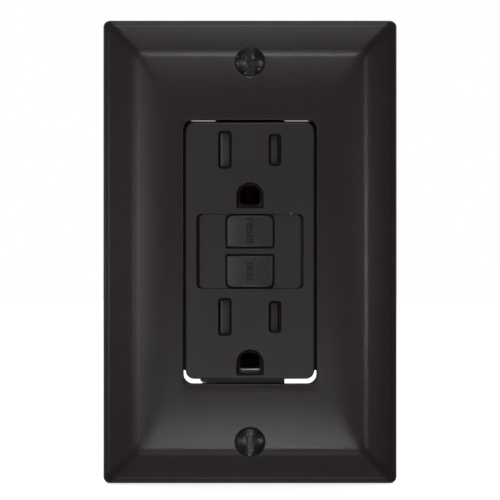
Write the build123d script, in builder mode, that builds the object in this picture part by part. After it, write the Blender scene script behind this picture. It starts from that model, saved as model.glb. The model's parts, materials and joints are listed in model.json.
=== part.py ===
from build123d import *

import os

# Duplex wall outlet: a ground-fault receptacle with its wall plate, in millimetres.
# X runs right, Y into the wall and Z up. The wall surface is y = 0, and the origin lies
# midway between the two screws that fasten the device to its box.

# --- Fits ---
slide_gap = 0.3  # between a moving piece and what it runs in
seat_gap = 0.1  # between fixed pieces that seat on each other
touch_gap = 0.05  # between contact faces that meet
well_gap = 0.6  # between sheet metal and the well that it stands in

# --- Wall plate ---
plate_width = 75.0
plate_height = 118.3
plate_front = 6.4  # wall surface to the flat panel
plate_corner_radius = 1.7
plate_rim = 2.3  # straight edge above the wall
plate_wall = 1.9
plate_edge_wall = 2.2
hollow_rise = 1.8  # straight side of the hollow, above the wall
bevel_width = 9.0  # outer edge to the crest
cove_width = 1.3  # steeper band just outside the crest
cove_rise = 1.1
crown_width = 7.5  # how far the panel rises inboard of the crest
crown_rise = 0.4
crest_radius = 2.0
lip_radius = 1.3
opening_gap = 0.55  # plate opening around the face
opening_corner_radius = 2.4
opening_lip = 0.9  # how far the opening's edge reaches behind the panel
rib_thickness = 1.2
rib_x = 27.0
plate_boss_radius = 3.2

# --- Screws that fix the device and the plate ---
plate_screw_pitch = 96.8
plate_screw_radius = 1.65
plate_screw_head_radius = 3.55
plate_screw_head_depth = 2.1
plate_screw_crown = 0.8
plate_screw_angle = 82  # of the countersink, in degrees
plate_screw_turns = (0, 8)  # how the slots stand, lower screw first, in degrees
plate_screw_length = 13.0
box_screw_pitch = 83.34
box_screw_radius = 1.75
box_screw_head_radius = 3.4
box_screw_head_height = 2.0
box_screw_length = 26.0
box_screw_neck = 1.5  # radius of the plain neck inside the strap
box_slot_play = 2.3  # how far the strap can be shifted on its screws
screw_slot_width = 1.2
screw_slot_depth = 1.0

# --- Face ---
face_width = 32.6
face_height = 65.0
face_rise = 0.36  # middle of the face above the origin
face_front = 7.2
face_wall = 2.0
face_side_wall = 1.7
face_corner_radius = 2.2
face_edge_radius = 0.4
panel_width = 27.2
panel_height = 19.0
panel_rise = 0.16  # middle of the button panel above the origin
panel_depth = 0.8
panel_ramp = 0.9
panel_edge_draft = 0.1  # slope of the recess above and below the buttons
panel_corner_radius = 1.3
web_thickness = 0.9

# --- Outlets ---
outlet_pitch = 42.3
blade_pitch = 12.7
blades_mid = 4.71  # middle of the two rows of blade slots above the origin
ground_drop = 11.7  # blade slots down to the ground hole
blade_width = 6.35
neutral_slot_width = 2.1
neutral_slot_height = 8.3
hot_slot_width = 1.9
hot_slot_height = 6.8
slot_lead_in = 0.7
slot_corner_radius = 0.3
ground_hole_radius = 2.8
ground_hole_flat = 2.4  # centre down to the flat
ground_lead_in = 0.7
ground_pin_radius = 2.4
ground_contact_thickness = 0.4
ground_flange_radius = 3.55
ground_trough_rise = 1.0  # pin centre to the top of the trough's sides
ground_trough_radius = 0.7
ground_lug_height = 1.6

# --- Buttons ---
button_pitch = 10.2
button_width = 11.9
button_height = 8.2
button_outer_radius = 1.3  # corners away from the other button
button_inner_radius = 0.35
button_gap = 0.3
button_front = 7.4
pin_cover = 1.0  # thickness of the reset cap over its pin
button_crown = 0.55  # fall from the middle of the button to its sides
button_bar = 1.0  # flange thickness
button_flange = 0.55  # how far the flange reaches under the window's edge
reset_travel = 2.0
test_travel = 1.5
reset_pin_radius = 1.1
reset_collar_radius = 1.7
reset_collar_length = 1.0
reset_spring_radius = 2.6
reset_spring_wire = 0.5
reset_spring_turns = 4
spring_seat = 1.4
test_stem_width = 4.6
test_stem_height = 2.6
test_spring_low = 4.0  # stem down to the spring's foot, and up to its tip
test_spring_high = 2.8
test_spring_floor = 4.2
test_spring_width = 3.0
test_spring_thickness = 0.3
test_spring_bend = 1.5

# --- Strap ---
strap_thickness = 1.3
strap_width = 17.7
strap_waist = 8.4  # between the blades
strap_length = 104.8
ear_width = 23.0
ear_height = 9.4
ground_tab_reach = 12.7
ground_tab_width = 7.8
ground_tab_depth = 10.0
ground_tab_z = -33.1
strap_corner_radius = 0.8
ear_corner_radius = 3.0
ear_hole_x = 8.3
ear_hole_radius = 1.2

# --- Body behind the wall ---
body_width = 43.0
body_top = 33.4
body_bottom = -30.2
body_depth = 29.0
body_wall = 1.7
body_corner_radius = 1.5
flange_height = 2.9
ground_well_bottom = -33.4
ground_well_depth = 14.5
post_x = 13.6
post_inset = 3.6  # body end to the housing screws
post_radius = 2.3
window_margin = 1.0  # terminal plate to the edge of its window
board_ledge = 1.2
board_ledge_height = 3.0
well_wall = 0.8
back_edge = 1.0
housing_screw_radius = 1.2
housing_screw_tip = 1.4  # ceiling of the face to the screws' tips
housing_screw_head_radius = 2.3
housing_screw_head_height = 1.2

# --- Contact carrier and contacts ---
carrier_depth = 9.4
carrier_floor = 0.9
carrier_web = 0.8  # wall between the ground wells and the contact wells
contact_thickness = 0.7
contact_rail_outer = 9.0
grip_height = 6.6
grip_front = 1.3
grip_thickness = 0.5
grip_root = 1.15  # blade centre to a spring leaf, at its root, its pinch and its mouth
grip_pinch = 0.95
grip_mouth = 1.4
grip_pinch_rise = 3.2
switch_x = 11.5
switch_z = 4.5
switch_pad_radius = 1.4
switch_plane = 9.3
post_contact_x = 15.0
line_post_half = 1.5
line_arm_rise = 1.2  # carrier's back to the line terminals' arms
leg_x = 1.0  # middle to the legs that pass through the sensing cores
leg_width = 1.4
leg_half_height = 1.0
tail_length = 0.6  # how far legs and posts pass through the board

# --- Terminals ---
terminal_z = 12.0
terminal_y = 9.0
terminal_half_height = 4.4
terminal_half_depth = 5.5
terminal_thickness = 1.0
terminal_recess = 2.0  # how far the terminal plates lie inside the body's sides
terminal_arm = 2.0  # how far the arm's root reaches beyond the plate
pressure_inset = 0.4
wire_gap = 2.3
wire_hole_radius = 1.45
wire_hole_spread = 2.7
terminal_screw_radius = 2.0
terminal_screw_head_radius = 3.7
terminal_screw_head_height = 2.0
terminal_screw_length = 5.2

# --- Shutters ---
shutter_travel = 2.2
shutter_height = 10.4
shutter_rise = 2.4
shutter_base = 1.0
shutter_window = 2.4
tray_thickness = 1.0
tray_half_width = 11.3
leaf_reach = 2.2  # half the height of a shutter's spring
leaf_thickness = 0.3
leaf_bend = 1.0

# --- Trip mechanism ---
trip_travel = 2.0
carriage_travel = 1.6
carriage_thickness = 1.75
carriage_half_height = 2.2
bridge_width = 3.8
bridge_thickness = 0.8
bridge_pad = 0.65  # height of a bridge's contact pads
latch_thickness = 0.7
latch_half_width = 3.6
latch_catch = 0.3  # how far the latch's edge hooks under the pin's collar
latch_bottom = -3.0
latch_rim = 1.0  # latch hole to its top edge
latch_tab_half = 2.0
guide_thickness = 0.85
guide_hook = 0.6
guide_gap = 0.15
tail_half = 2.8  # half the width of the carriage's tail
rivet_radius = 0.7
spring_strip = 0.25  # thickness of the leaf springs
carriage_spring_width = 2.6
carriage_spring_reach = 7.0
latch_spring_half = 2.3
latch_spring_bend = 0.8
solenoid_y = 18.4
solenoid_bottom = 11.9
solenoid_length = 14.2
solenoid_radius = 3.9
bobbin_flange = 0.8
bobbin_radius = 2.3
plunger_radius = 1.6
frame_thickness = 0.9
bobbin_lip = 0.4  # bobbin flange beyond the winding
plunger_overlap = 10.0  # how far the plunger reaches into the solenoid

# --- Circuit board ---
board_front = 23.0
board_thickness = 1.6
board_half_width = 15.0
core_radius = 7.2
core_bore = 3.4
core_thickness = 3.8
core_z = -18.5
core_front = 14.4
core_edge = 0.8
core_spacing = 0.4
board_end_gap = 1.5  # board to the carrier's ends
varistor_x = (10.6, 13.6)
varistor_radius = 4.3
capacitor_x = -12.0
capacitor_radius = 3.0
capacitor_height = 7.5
chip_x = (-13.0, -9.1)
chip_z = (3.0, 8.0)
chip_height = 1.6
lead_pitch = 1.27
lead_count = 4
lead_reach = 1.0  # chip side to a lead's foot
lead_width = 0.4
lead_thickness = 0.2
thyristor_x = -11.0
thyristor_z = 13.5
thyristor_radius = 2.3
thyristor_height = 4.4
thyristor_flat = 1.1  # middle to the flat side
diode_x = (8.6, 11.8)
diode_z = (14.4, 20.4)
diode_radius = 1.2
diode_length = 4.2
resistor_x = (-8.4, -11.6)
resistor_z = (18.6, 24.4)
resistor_radius = 1.0
lead_standoff = 0.2  # board to the bodies of small components
lamp_radius = 1.2
lamp_height = 1.6
lens_x = 10.4
lens_z = 9.76
lens_radius = 0.4
pipe_radius = 0.8

# --- Places worked out from the sizes above ---
body_height = body_top - body_bottom
body_mid = (body_top + body_bottom) / 2
cover_ceiling = face_front - face_wall
outlet_rows = {
    "upper": blades_mid + outlet_pitch / 2,
    "lower": blades_mid - outlet_pitch / 2,
}
reset_z = panel_rise + button_pitch / 2
test_z = panel_rise - button_pitch / 2
window_width = button_width + 2 * button_gap
window_height = button_height + 2 * button_gap
post_points = [
    (side * post_x, z)
    for side in (-1, 1)
    for z in (body_bottom + post_inset, body_top - post_inset)
]
poles = {"neutral": -1, "hot": 1}
blade_x = blade_pitch / 2
slot_sizes = {
    -1: (neutral_slot_width, neutral_slot_height),
    1: (hot_slot_width, hot_slot_height),
}


def front(height):
    """Plane parallel to the wall, this far in front of it; its local y is Z."""
    return Plane.XZ.offset(height)


def block(x, y, z, mode=Mode.ADD):
    """Add a square-cornered block between two x, two y and two z values."""
    with BuildSketch(front(-y[1])) as outline:
        with Locations(((x[0] + x[1]) / 2, (z[0] + z[1]) / 2)):
            Rectangle(x[1] - x[0], z[1] - z[0])
    extrude(outline.sketch, amount=y[1] - y[0], mode=mode)


def slab(width, height, radius, y, centre=(0, 0), mode=Mode.ADD):
    """Add a block with rounded upright corners, between two depths."""
    with BuildSketch(front(-y[1])) as outline:
        with Locations(centre):
            RectangleRounded(width, height, radius)
    extrude(outline.sketch, amount=y[1] - y[0], mode=mode)


def rod(radius, y, centre=(0, 0), mode=Mode.ADD):
    """Add a round rod along Y, between two depths."""
    with BuildSketch(front(-y[1])) as outline:
        with Locations(centre):
            Circle(radius)
    extrude(outline.sketch, amount=y[1] - y[0], mode=mode)


def upright(radius, z, centre, mode=Mode.ADD):
    """Add a round rod along Z, between two heights; the centre is x and y."""
    with BuildSketch(Plane.XY.offset(z[0])) as outline:
        with Locations(centre):
            Circle(radius)
    extrude(outline.sketch, amount=z[1] - z[0], mode=mode)


def cross_rod(radius, x, centre, mode=Mode.ADD):
    """Add a round rod along X, between two x values; the centre is y and z."""
    with BuildSketch(Plane.YZ.offset(min(x))) as outline:
        with Locations(centre):
            Circle(radius)
    extrude(outline.sketch, amount=abs(x[1] - x[0]), mode=mode)


def button_slab(margin, y, z, mode=Mode.ADD):
    """Add a button's outline, larger by a margin; the corners away from its neighbour are rounder."""
    with BuildSketch(front(-y[1])) as outline:
        with Locations((0, z)):
            Rectangle(button_width + 2 * margin, button_height + 2 * margin)
        radii = (button_inner_radius + margin, button_outer_radius + margin)
        low, high = radii if z > panel_rise else reversed(radii)
        fillet(outline.vertices().group_by(Axis.Y)[0], low)
        fillet(outline.vertices().group_by(Axis.Y)[-1], high)
    extrude(outline.sketch, amount=y[1] - y[0], mode=mode)


def across(side, near, far):
    """The two x values at these distances from the middle, on this side of it, in order."""
    return tuple(sorted((side * near, side * far)))


# --- Wall plate: hollow, with a bevel whose corners are mitred ---
slope_width = bevel_width - cove_width
crest_height = plate_front - crown_rise
slope_top = crest_height - cove_rise
plate_ceiling = plate_front - plate_wall
opening_width = face_width + 2 * opening_gap
opening_height = face_height + 2 * (face_rise + opening_gap)
screw_points = [(0, -plate_screw_pitch / 2), (0, plate_screw_pitch / 2)]
# The screw heads lie level with the crowned part of the panel that they sit in.
screw_inset = (plate_height - plate_screw_pitch) / 2 - bevel_width
screw_face = crest_height + crown_rise * screw_inset / crown_width
with BuildPart() as wall_plate:
    slab(plate_width, plate_height, plate_corner_radius, (-plate_rim, 0))
    with BuildSketch(front(plate_rim)):
        RectangleRounded(plate_width, plate_height, plate_corner_radius)
    with BuildSketch(front(slope_top)):
        RectangleRounded(
            plate_width - 2 * slope_width,
            plate_height - 2 * slope_width,
            plate_corner_radius,
        )
    loft(ruled=True)
    with BuildSketch(front(slope_top)):
        RectangleRounded(
            plate_width - 2 * slope_width,
            plate_height - 2 * slope_width,
            plate_corner_radius,
        )
    with BuildSketch(front(crest_height)):
        RectangleRounded(
            plate_width - 2 * bevel_width,
            plate_height - 2 * bevel_width,
            plate_corner_radius,
        )
    loft(ruled=True)
    with BuildSketch(front(crest_height)):
        RectangleRounded(
            plate_width - 2 * bevel_width,
            plate_height - 2 * bevel_width,
            plate_corner_radius,
        )
    with BuildSketch(front(plate_front)):
        RectangleRounded(
            plate_width - 2 * (bevel_width + crown_width),
            plate_height - 2 * (bevel_width + crown_width),
            plate_corner_radius,
        )
    loft(ruled=True)
    crest = wall_plate.edges().filter_by(
        lambda edge: abs(edge.center().Y + crest_height) < 0.001
    )
    fillet(crest, crest_radius)
    lip = wall_plate.edges().filter_by(
        lambda edge: abs(edge.center().Y + plate_rim) < 0.001
    )
    fillet(lip, lip_radius)
    # The hollow behind follows the bevel.
    inner_width = plate_width - 2 * plate_edge_wall
    inner_height = plate_height - 2 * plate_edge_wall
    with BuildSketch(front(0)):
        RectangleRounded(inner_width, inner_height, plate_corner_radius / 2)
    with BuildSketch(front(hollow_rise)):
        RectangleRounded(inner_width, inner_height, plate_corner_radius / 2)
    loft(ruled=True, mode=Mode.SUBTRACT)
    with BuildSketch(front(hollow_rise)):
        RectangleRounded(inner_width, inner_height, plate_corner_radius / 2)
    with BuildSketch(front(plate_ceiling)):
        RectangleRounded(
            plate_width - 2 * bevel_width,
            plate_height - 2 * bevel_width,
            plate_corner_radius / 2,
        )
    loft(ruled=True, mode=Mode.SUBTRACT)
    # Way for the strap, which may reach into the edge of a shorter plate
    block(
        (-ear_width / 2 - seat_gap, ear_width / 2 + seat_gap),
        (-strap_thickness - seat_gap, 0),
        (-strap_length / 2 - seat_gap, strap_length / 2 + seat_gap),
        mode=Mode.SUBTRACT,
    )
    # Lip round the opening, ribs beside it and bosses behind the screw holes
    lip_back = -(plate_ceiling - opening_lip)
    slab(
        opening_width + 2 * plate_wall,
        opening_height + 2 * plate_wall,
        opening_corner_radius,
        (-plate_ceiling, lip_back),
    )
    rib_back = -(flange_height + slide_gap)
    rib_z = opening_height / 2 + plate_wall
    for side in (-1, 1):
        block(
            (side * rib_x - rib_thickness / 2, side * rib_x + rib_thickness / 2),
            (-plate_ceiling, rib_back),
            (-rib_z, rib_z),
        )
        block(
            (-rib_x, rib_x),
            (-plate_ceiling, rib_back),
            (side * rib_z - rib_thickness / 2, side * rib_z + rib_thickness / 2),
        )
    for point in screw_points:
        rod(plate_boss_radius, (-plate_ceiling, -strap_thickness - seat_gap), point)
    slab(
        opening_width,
        opening_height,
        opening_corner_radius,
        (-plate_front, 0),
        mode=Mode.SUBTRACT,
    )
    with Locations(front(screw_face)):
        with Locations(*screw_points):
            CounterSinkHole(
                plate_screw_radius + seat_gap,
                plate_screw_head_radius + seat_gap,
                counter_sink_angle=plate_screw_angle,
            )
    for point in screw_points:
        rod(
            plate_screw_head_radius + seat_gap,
            (-plate_front, -screw_face),
            point,
            mode=Mode.SUBTRACT,
        )

# --- Plate screws: oval heads with one straight slot ---
with BuildPart() as plate_screws:
    for (x, z), turn in zip(screw_points, plate_screw_turns):
        axis = Axis((x, 0, z), (0, 1, 0))
        with BuildSketch(Plane.XY.offset(z)):
            with BuildLine():
                shank_end = plate_screw_length - screw_face
                head_back = plate_screw_head_depth - screw_face
                rim = (plate_screw_head_radius, -screw_face)
                Polyline(
                    rim,
                    (plate_screw_radius, head_back),
                    (plate_screw_radius, shank_end),
                    (0, shank_end),
                    (0, -screw_face - plate_screw_crown),
                )
                RadiusArc(
                    (0, -screw_face - plate_screw_crown),
                    rim,
                    -(plate_screw_head_radius**2 + plate_screw_crown**2)
                    / (2 * plate_screw_crown),
                )
            make_face()
        revolve(axis=axis)
        with BuildSketch(front(screw_face + plate_screw_crown)):
            with Locations(Location((x, z), turn)):
                Rectangle(screw_slot_width, 2 * plate_screw_head_radius)
        extrude(amount=-screw_slot_depth, mode=Mode.SUBTRACT)

# --- Face cover: the raised face, the button panel and a flange over the body ---
housing_screw_end = -cover_ceiling + housing_screw_tip
pocket_half_width = face_width / 2 - face_side_wall
pocket_top = outlet_rows["upper"] + shutter_height / 2 + slide_gap
pocket_bottom = body_bottom + body_wall
web_centres = (
    reset_z + window_height / 2 + button_flange + slide_gap + web_thickness / 2,
    test_z - window_height / 2 - button_flange - slide_gap - web_thickness / 2,
)
with BuildPart() as face_cover:
    slab(
        body_width,
        body_height,
        body_corner_radius,
        (-flange_height, 0),
        centre=(0, body_mid),
    )
    fillet(face_cover.edges().group_by(Axis.Y)[0], face_edge_radius)
    slab(
        face_width,
        face_height,
        face_corner_radius,
        (-face_front, -strap_thickness - seat_gap),
        centre=(0, face_rise),
    )
    fillet(face_cover.edges().group_by(Axis.Y)[0], face_edge_radius)
    # Button panel: a shallow recess with ramped ends
    with BuildSketch(front(face_front)):
        with Locations((0, panel_rise)):
            RectangleRounded(panel_width, panel_height, panel_corner_radius)
    with BuildSketch(front(face_front - panel_depth)):
        with Locations((0, panel_rise)):
            RectangleRounded(
                panel_width - 2 * panel_ramp,
                panel_height - 2 * panel_edge_draft,
                panel_corner_radius,
            )
    loft(ruled=True, mode=Mode.SUBTRACT)
    # Pockets behind the face, with a web on each side of the buttons
    pocket_ends = [pocket_bottom, web_centres[1], web_centres[0], pocket_top]
    for low, high in zip(pocket_ends, pocket_ends[1:]):
        trim_low = 0 if low == pocket_bottom else web_thickness / 2
        trim_high = 0 if high == pocket_top else web_thickness / 2
        block(
            (-pocket_half_width, pocket_half_width),
            (-cover_ceiling, 0),
            (low + trim_low, high - trim_high),
            mode=Mode.SUBTRACT,
        )
    for z in (reset_z, test_z):
        button_slab(button_gap, (-face_front, 0), z, mode=Mode.SUBTRACT)
    # Blade slots and ground holes, each with a sloped lead-in
    for row_z in outlet_rows.values():
        for side, (slot_width, slot_height) in slot_sizes.items():
            slab(
                slot_width,
                slot_height,
                slot_corner_radius,
                (-face_front, -cover_ceiling),
                centre=(side * blade_x, row_z),
                mode=Mode.SUBTRACT,
            )
            rim = face_cover.edges(Select.LAST).group_by(Axis.Y)[0]
            chamfer(rim, slot_lead_in)
        ground_z = row_z - ground_drop
        with BuildSketch(front(face_front)):
            with BuildLine():
                arch = CenterArc((0, ground_z), ground_hole_radius, 0, 180)
                Polyline(
                    arch @ 1,
                    (-ground_hole_radius, ground_z - ground_hole_flat),
                    (ground_hole_radius, ground_z - ground_hole_flat),
                    arch @ 0,
                )
            make_face()
        extrude(amount=-face_front, mode=Mode.SUBTRACT)
        rim = face_cover.edges(Select.LAST).group_by(Axis.Y)[0]
        chamfer(rim, ground_lead_in)
    # Way for the strap under the flange's ends, and the four screw posts
    block(
        (-strap_width / 2 - seat_gap, strap_width / 2 + seat_gap),
        (-strap_thickness - seat_gap, 0),
        (body_bottom, body_top),
        mode=Mode.SUBTRACT,
    )
    for point in post_points:
        rod(post_radius - slide_gap, (-cover_ceiling, 0), point)
        rod(
            housing_screw_radius,
            (housing_screw_end - 4 * seat_gap, 0),
            point,
            mode=Mode.SUBTRACT,
        )
    rod(pipe_radius + seat_gap, (-cover_ceiling, 0), (lens_x, lens_z), Mode.SUBTRACT)
    rod(lens_radius + touch_gap, (-face_front, 0), (lens_x, lens_z), Mode.SUBTRACT)

# --- Mounting strap: a stamped ladder with ears, holes for both screws and a bent earth tab ---
ear_z = (strap_length - ear_height) / 2
tab_centre_x = ground_tab_width / 2 - ground_tab_reach
tab_root = body_bottom - slide_gap
box_points = [(0, -box_screw_pitch / 2), (0, box_screw_pitch / 2)]
box_slot_width = 2 * box_screw_radius + slide_gap
box_slot_length = box_slot_width + box_slot_play
with BuildPart() as mounting_strap:
    with BuildSketch(front(0)):
        RectangleRounded(strap_width, strap_length - ear_height, strap_corner_radius)
        with Locations((0, -ear_z), (0, ear_z)):
            RectangleRounded(ear_width, ear_height, ear_corner_radius)
        with Locations((tab_centre_x, (ground_tab_z + tab_root) / 2)):
            Rectangle(ground_tab_width, tab_root - ground_tab_z)
        # Waists between the blades of each outlet
        for row_z in outlet_rows.values():
            for side in (-1, 1):
                waist_reach = (strap_width - strap_waist) / 2
                with Locations((side * (strap_waist + waist_reach) / 2, row_z)):
                    Rectangle(waist_reach, shutter_height, mode=Mode.SUBTRACT)
            with Locations((0, row_z - ground_drop)):
                Circle(ground_pin_radius + 2 * slide_gap, mode=Mode.SUBTRACT)
        with Locations((0, reset_z)):
            Circle(reset_spring_radius + 2 * slide_gap, mode=Mode.SUBTRACT)
        with Locations((0, test_z)):
            Rectangle(
                test_stem_width + 2 * slide_gap,
                test_stem_height + 2 * slide_gap,
                mode=Mode.SUBTRACT,
            )
        with Locations(*screw_points):
            Circle(plate_screw_radius + seat_gap, mode=Mode.SUBTRACT)
        with Locations(*box_points):
            SlotOverall(box_slot_length, box_slot_width, mode=Mode.SUBTRACT)
        # Small holes in the ears, on both sides of the plate screws
        for side in (-1, 1):
            with Locations((side * ear_hole_x, -ear_z), (side * ear_hole_x, ear_z)):
                Circle(ear_hole_radius, mode=Mode.SUBTRACT)
    extrude(amount=strap_thickness)
    block(
        (-ground_tab_reach, ground_tab_width - ground_tab_reach),
        (-strap_thickness, ground_tab_depth),
        (ground_tab_z, ground_tab_z + strap_thickness),
    )
    tab_mid_y = ground_tab_depth - ground_tab_width / 2
    upright(
        terminal_screw_radius + seat_gap,
        (ground_tab_z, ground_tab_z + strap_thickness),
        (tab_centre_x, tab_mid_y),
        mode=Mode.SUBTRACT,
    )

# --- Box screws and the bushes that hold their necks in the strap's slots ---
head_seat = -strap_thickness
with BuildPart() as box_screws:
    for point in box_points:
        rod(box_screw_head_radius, (head_seat - box_screw_head_height, head_seat), point)
        rod(box_screw_neck, (head_seat, 0), point)
        rod(box_screw_radius, (0, head_seat + box_screw_length), point)
    fillet(box_screws.edges().group_by(Axis.Y)[0], box_screw_head_height / 2)
    for x, z in box_points:
        block(
            (-box_screw_head_radius, box_screw_head_radius),
            (head_seat - box_screw_head_height, head_seat - screw_slot_depth),
            (z - screw_slot_width / 2, z + screw_slot_width / 2),
            mode=Mode.SUBTRACT,
        )
with BuildPart() as screw_retainers:
    with BuildSketch(front(touch_gap)):
        with Locations(*box_points):
            SlotOverall(box_slot_length - 2 * touch_gap, box_slot_width - 2 * touch_gap)
            Circle(box_screw_neck + touch_gap, mode=Mode.SUBTRACT)
    extrude(amount=strap_thickness - 2 * touch_gap)

# --- Buttons: crowned caps with a flange behind the panel ---
flange_front = -cover_ceiling + 2 * seat_gap
flange_back = flange_front + button_bar


def button_cap(z):
    """Add a cap crowned from side to side, with the flange that holds it in its window."""
    button_slab(button_gap + button_flange, (flange_front, flange_back), z)
    button_slab(0, (-button_front, flange_back), z)
    # The front is cut to an arc that falls from the middle to both sides.
    half = button_width / 2 + button_bar
    with BuildSketch(Plane.XY.offset(z - button_height / 2)) as over:
        with BuildLine():
            crown = ThreePointArc(
                (-half, -button_front + button_crown),
                (0, -button_front),
                (half, -button_front + button_crown),
            )
            Polyline(
                crown @ 1,
                (half, -button_front - button_crown),
                (-half, -button_front - button_crown),
                crown @ 0,
            )
        make_face()
    extrude(over.sketch, amount=button_height, mode=Mode.SUBTRACT)


with BuildPart() as reset_button:
    button_cap(reset_z)
    rod(
        reset_spring_radius + slide_gap,
        (-cover_ceiling, flange_back),
        (0, reset_z),
        mode=Mode.SUBTRACT,
    )
    rod(reset_pin_radius + touch_gap, (-button_front + pin_cover, 0), (0, reset_z), Mode.SUBTRACT)
with BuildPart() as test_button:
    button_cap(test_z)
    block(
        (-test_stem_width / 2, test_stem_width / 2),
        (flange_back, 2 * slide_gap),
        (test_z - test_stem_height / 2, test_z + test_stem_height / 2),
    )

# --- Reset pin: its collar sits just behind the latch plate ---
bridge_front = switch_plane + touch_gap + bridge_pad
carriage_front = bridge_front + bridge_thickness + touch_gap
latch_front = carriage_front + carriage_thickness + seat_gap
latch_back = latch_front + latch_thickness
collar_front = latch_back + slide_gap
with BuildPart() as reset_pin:
    rod(reset_pin_radius, (-button_front + pin_cover, collar_front), (0, reset_z))
    rod(reset_collar_radius, (collar_front, collar_front + reset_collar_length), (0, reset_z))
    chamfer(reset_pin.edges().group_by(Axis.Y)[-1], reset_collar_length / 2)

# --- Reset spring: a round-wire coil between the cap and the carrier ---
spring_front = -cover_ceiling + reset_spring_wire / 2 + touch_gap
spring_length = spring_seat - reset_spring_wire / 2 - touch_gap - spring_front
coil_radius = reset_spring_radius - reset_spring_wire / 2
with BuildPart() as reset_spring:
    with BuildLine():
        coil = Helix(
            pitch=spring_length / reset_spring_turns,
            height=spring_length,
            radius=coil_radius,
            center=(0, spring_front, reset_z),
            direction=(0, 1, 0),
        )
    with BuildSketch(Plane(origin=coil @ 0, z_dir=coil % 0)):
        Circle(reset_spring_wire / 2)
    sweep(is_frenet=True)

# --- Shutters: a wedge behind each blade slot, and a window beside each wedge ---
shutter_back = -(strap_thickness + tray_thickness + 2 * seat_gap + touch_gap)
shutter_low = shutter_back - shutter_base
shutter_high = shutter_back - shutter_rise
wedge_run = neutral_slot_width + slot_lead_in
window_edges = {
    -1: -blade_x + neutral_slot_width / 2,
    1: blade_x + hot_slot_width / 2 - slide_gap,
}
shutter_left = window_edges[-1] - wedge_run - slide_gap
shutter_right = window_edges[1] + shutter_window + shutter_base


def shutter_body(z):
    """Add one shutter: wedges rise away from their windows, so both blades push it aside."""
    with BuildSketch(Plane.XY.offset(z - shutter_height / 2)) as profile:
        with BuildLine():
            Polyline(
                (shutter_left, shutter_back),
                (shutter_left, shutter_high),
                (shutter_left + slide_gap, shutter_high),
                (window_edges[-1], shutter_low),
                (window_edges[1] - wedge_run - slide_gap, shutter_low),
                (window_edges[1] - wedge_run, shutter_high),
                (window_edges[1] - wedge_run + slide_gap, shutter_high),
                (window_edges[1], shutter_low),
                (shutter_right, shutter_low),
                (shutter_right, shutter_back),
                close=True,
            )
        make_face()
    extrude(profile.sketch, amount=shutter_height)
    for edge_x in window_edges.values():
        block(
            (edge_x, edge_x + shutter_window),
            (shutter_high, shutter_back),
            (z - neutral_slot_height / 2, z + neutral_slot_height / 2),
            mode=Mode.SUBTRACT,
        )


shutters = {}
trays = {}
shutter_springs = {}
for row, row_z in outlet_rows.items():
    with BuildPart() as shutter:
        shutter_body(row_z)
    shutters[row] = shutter
    tray_back = -strap_thickness - seat_gap
    with BuildPart() as tray:
        block(
            (-tray_half_width, tray_half_width),
            (tray_back - tray_thickness, tray_back),
            (row_z - shutter_height / 2, row_z + shutter_height / 2),
        )
        for side in poles.values():
            block(
                (side * blade_x - shutter_window / 2, side * blade_x + shutter_window / 2),
                (tray_back - tray_thickness, tray_back),
                (row_z - neutral_slot_height / 2, row_z + neutral_slot_height / 2),
                mode=Mode.SUBTRACT,
            )
    trays[row] = tray
    leaf_wall = -pocket_half_width + slide_gap
    leaf_tip = shutter_left - leaf_thickness / 2 - seat_gap
    leaf_middle = row_z - shutter_height / 4
    with BuildPart() as leaf:
        with BuildSketch(front(-shutter_low)):
            with BuildLine():
                FilletPolyline(
                    (leaf_wall, leaf_middle - leaf_reach),
                    (leaf_tip, leaf_middle),
                    (leaf_wall, leaf_middle + leaf_reach),
                    radius=leaf_bend,
                )
            trace(line_width=leaf_thickness)
        extrude(amount=shutter_rise - shutter_base)
    shutter_springs[row] = leaf

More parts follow.
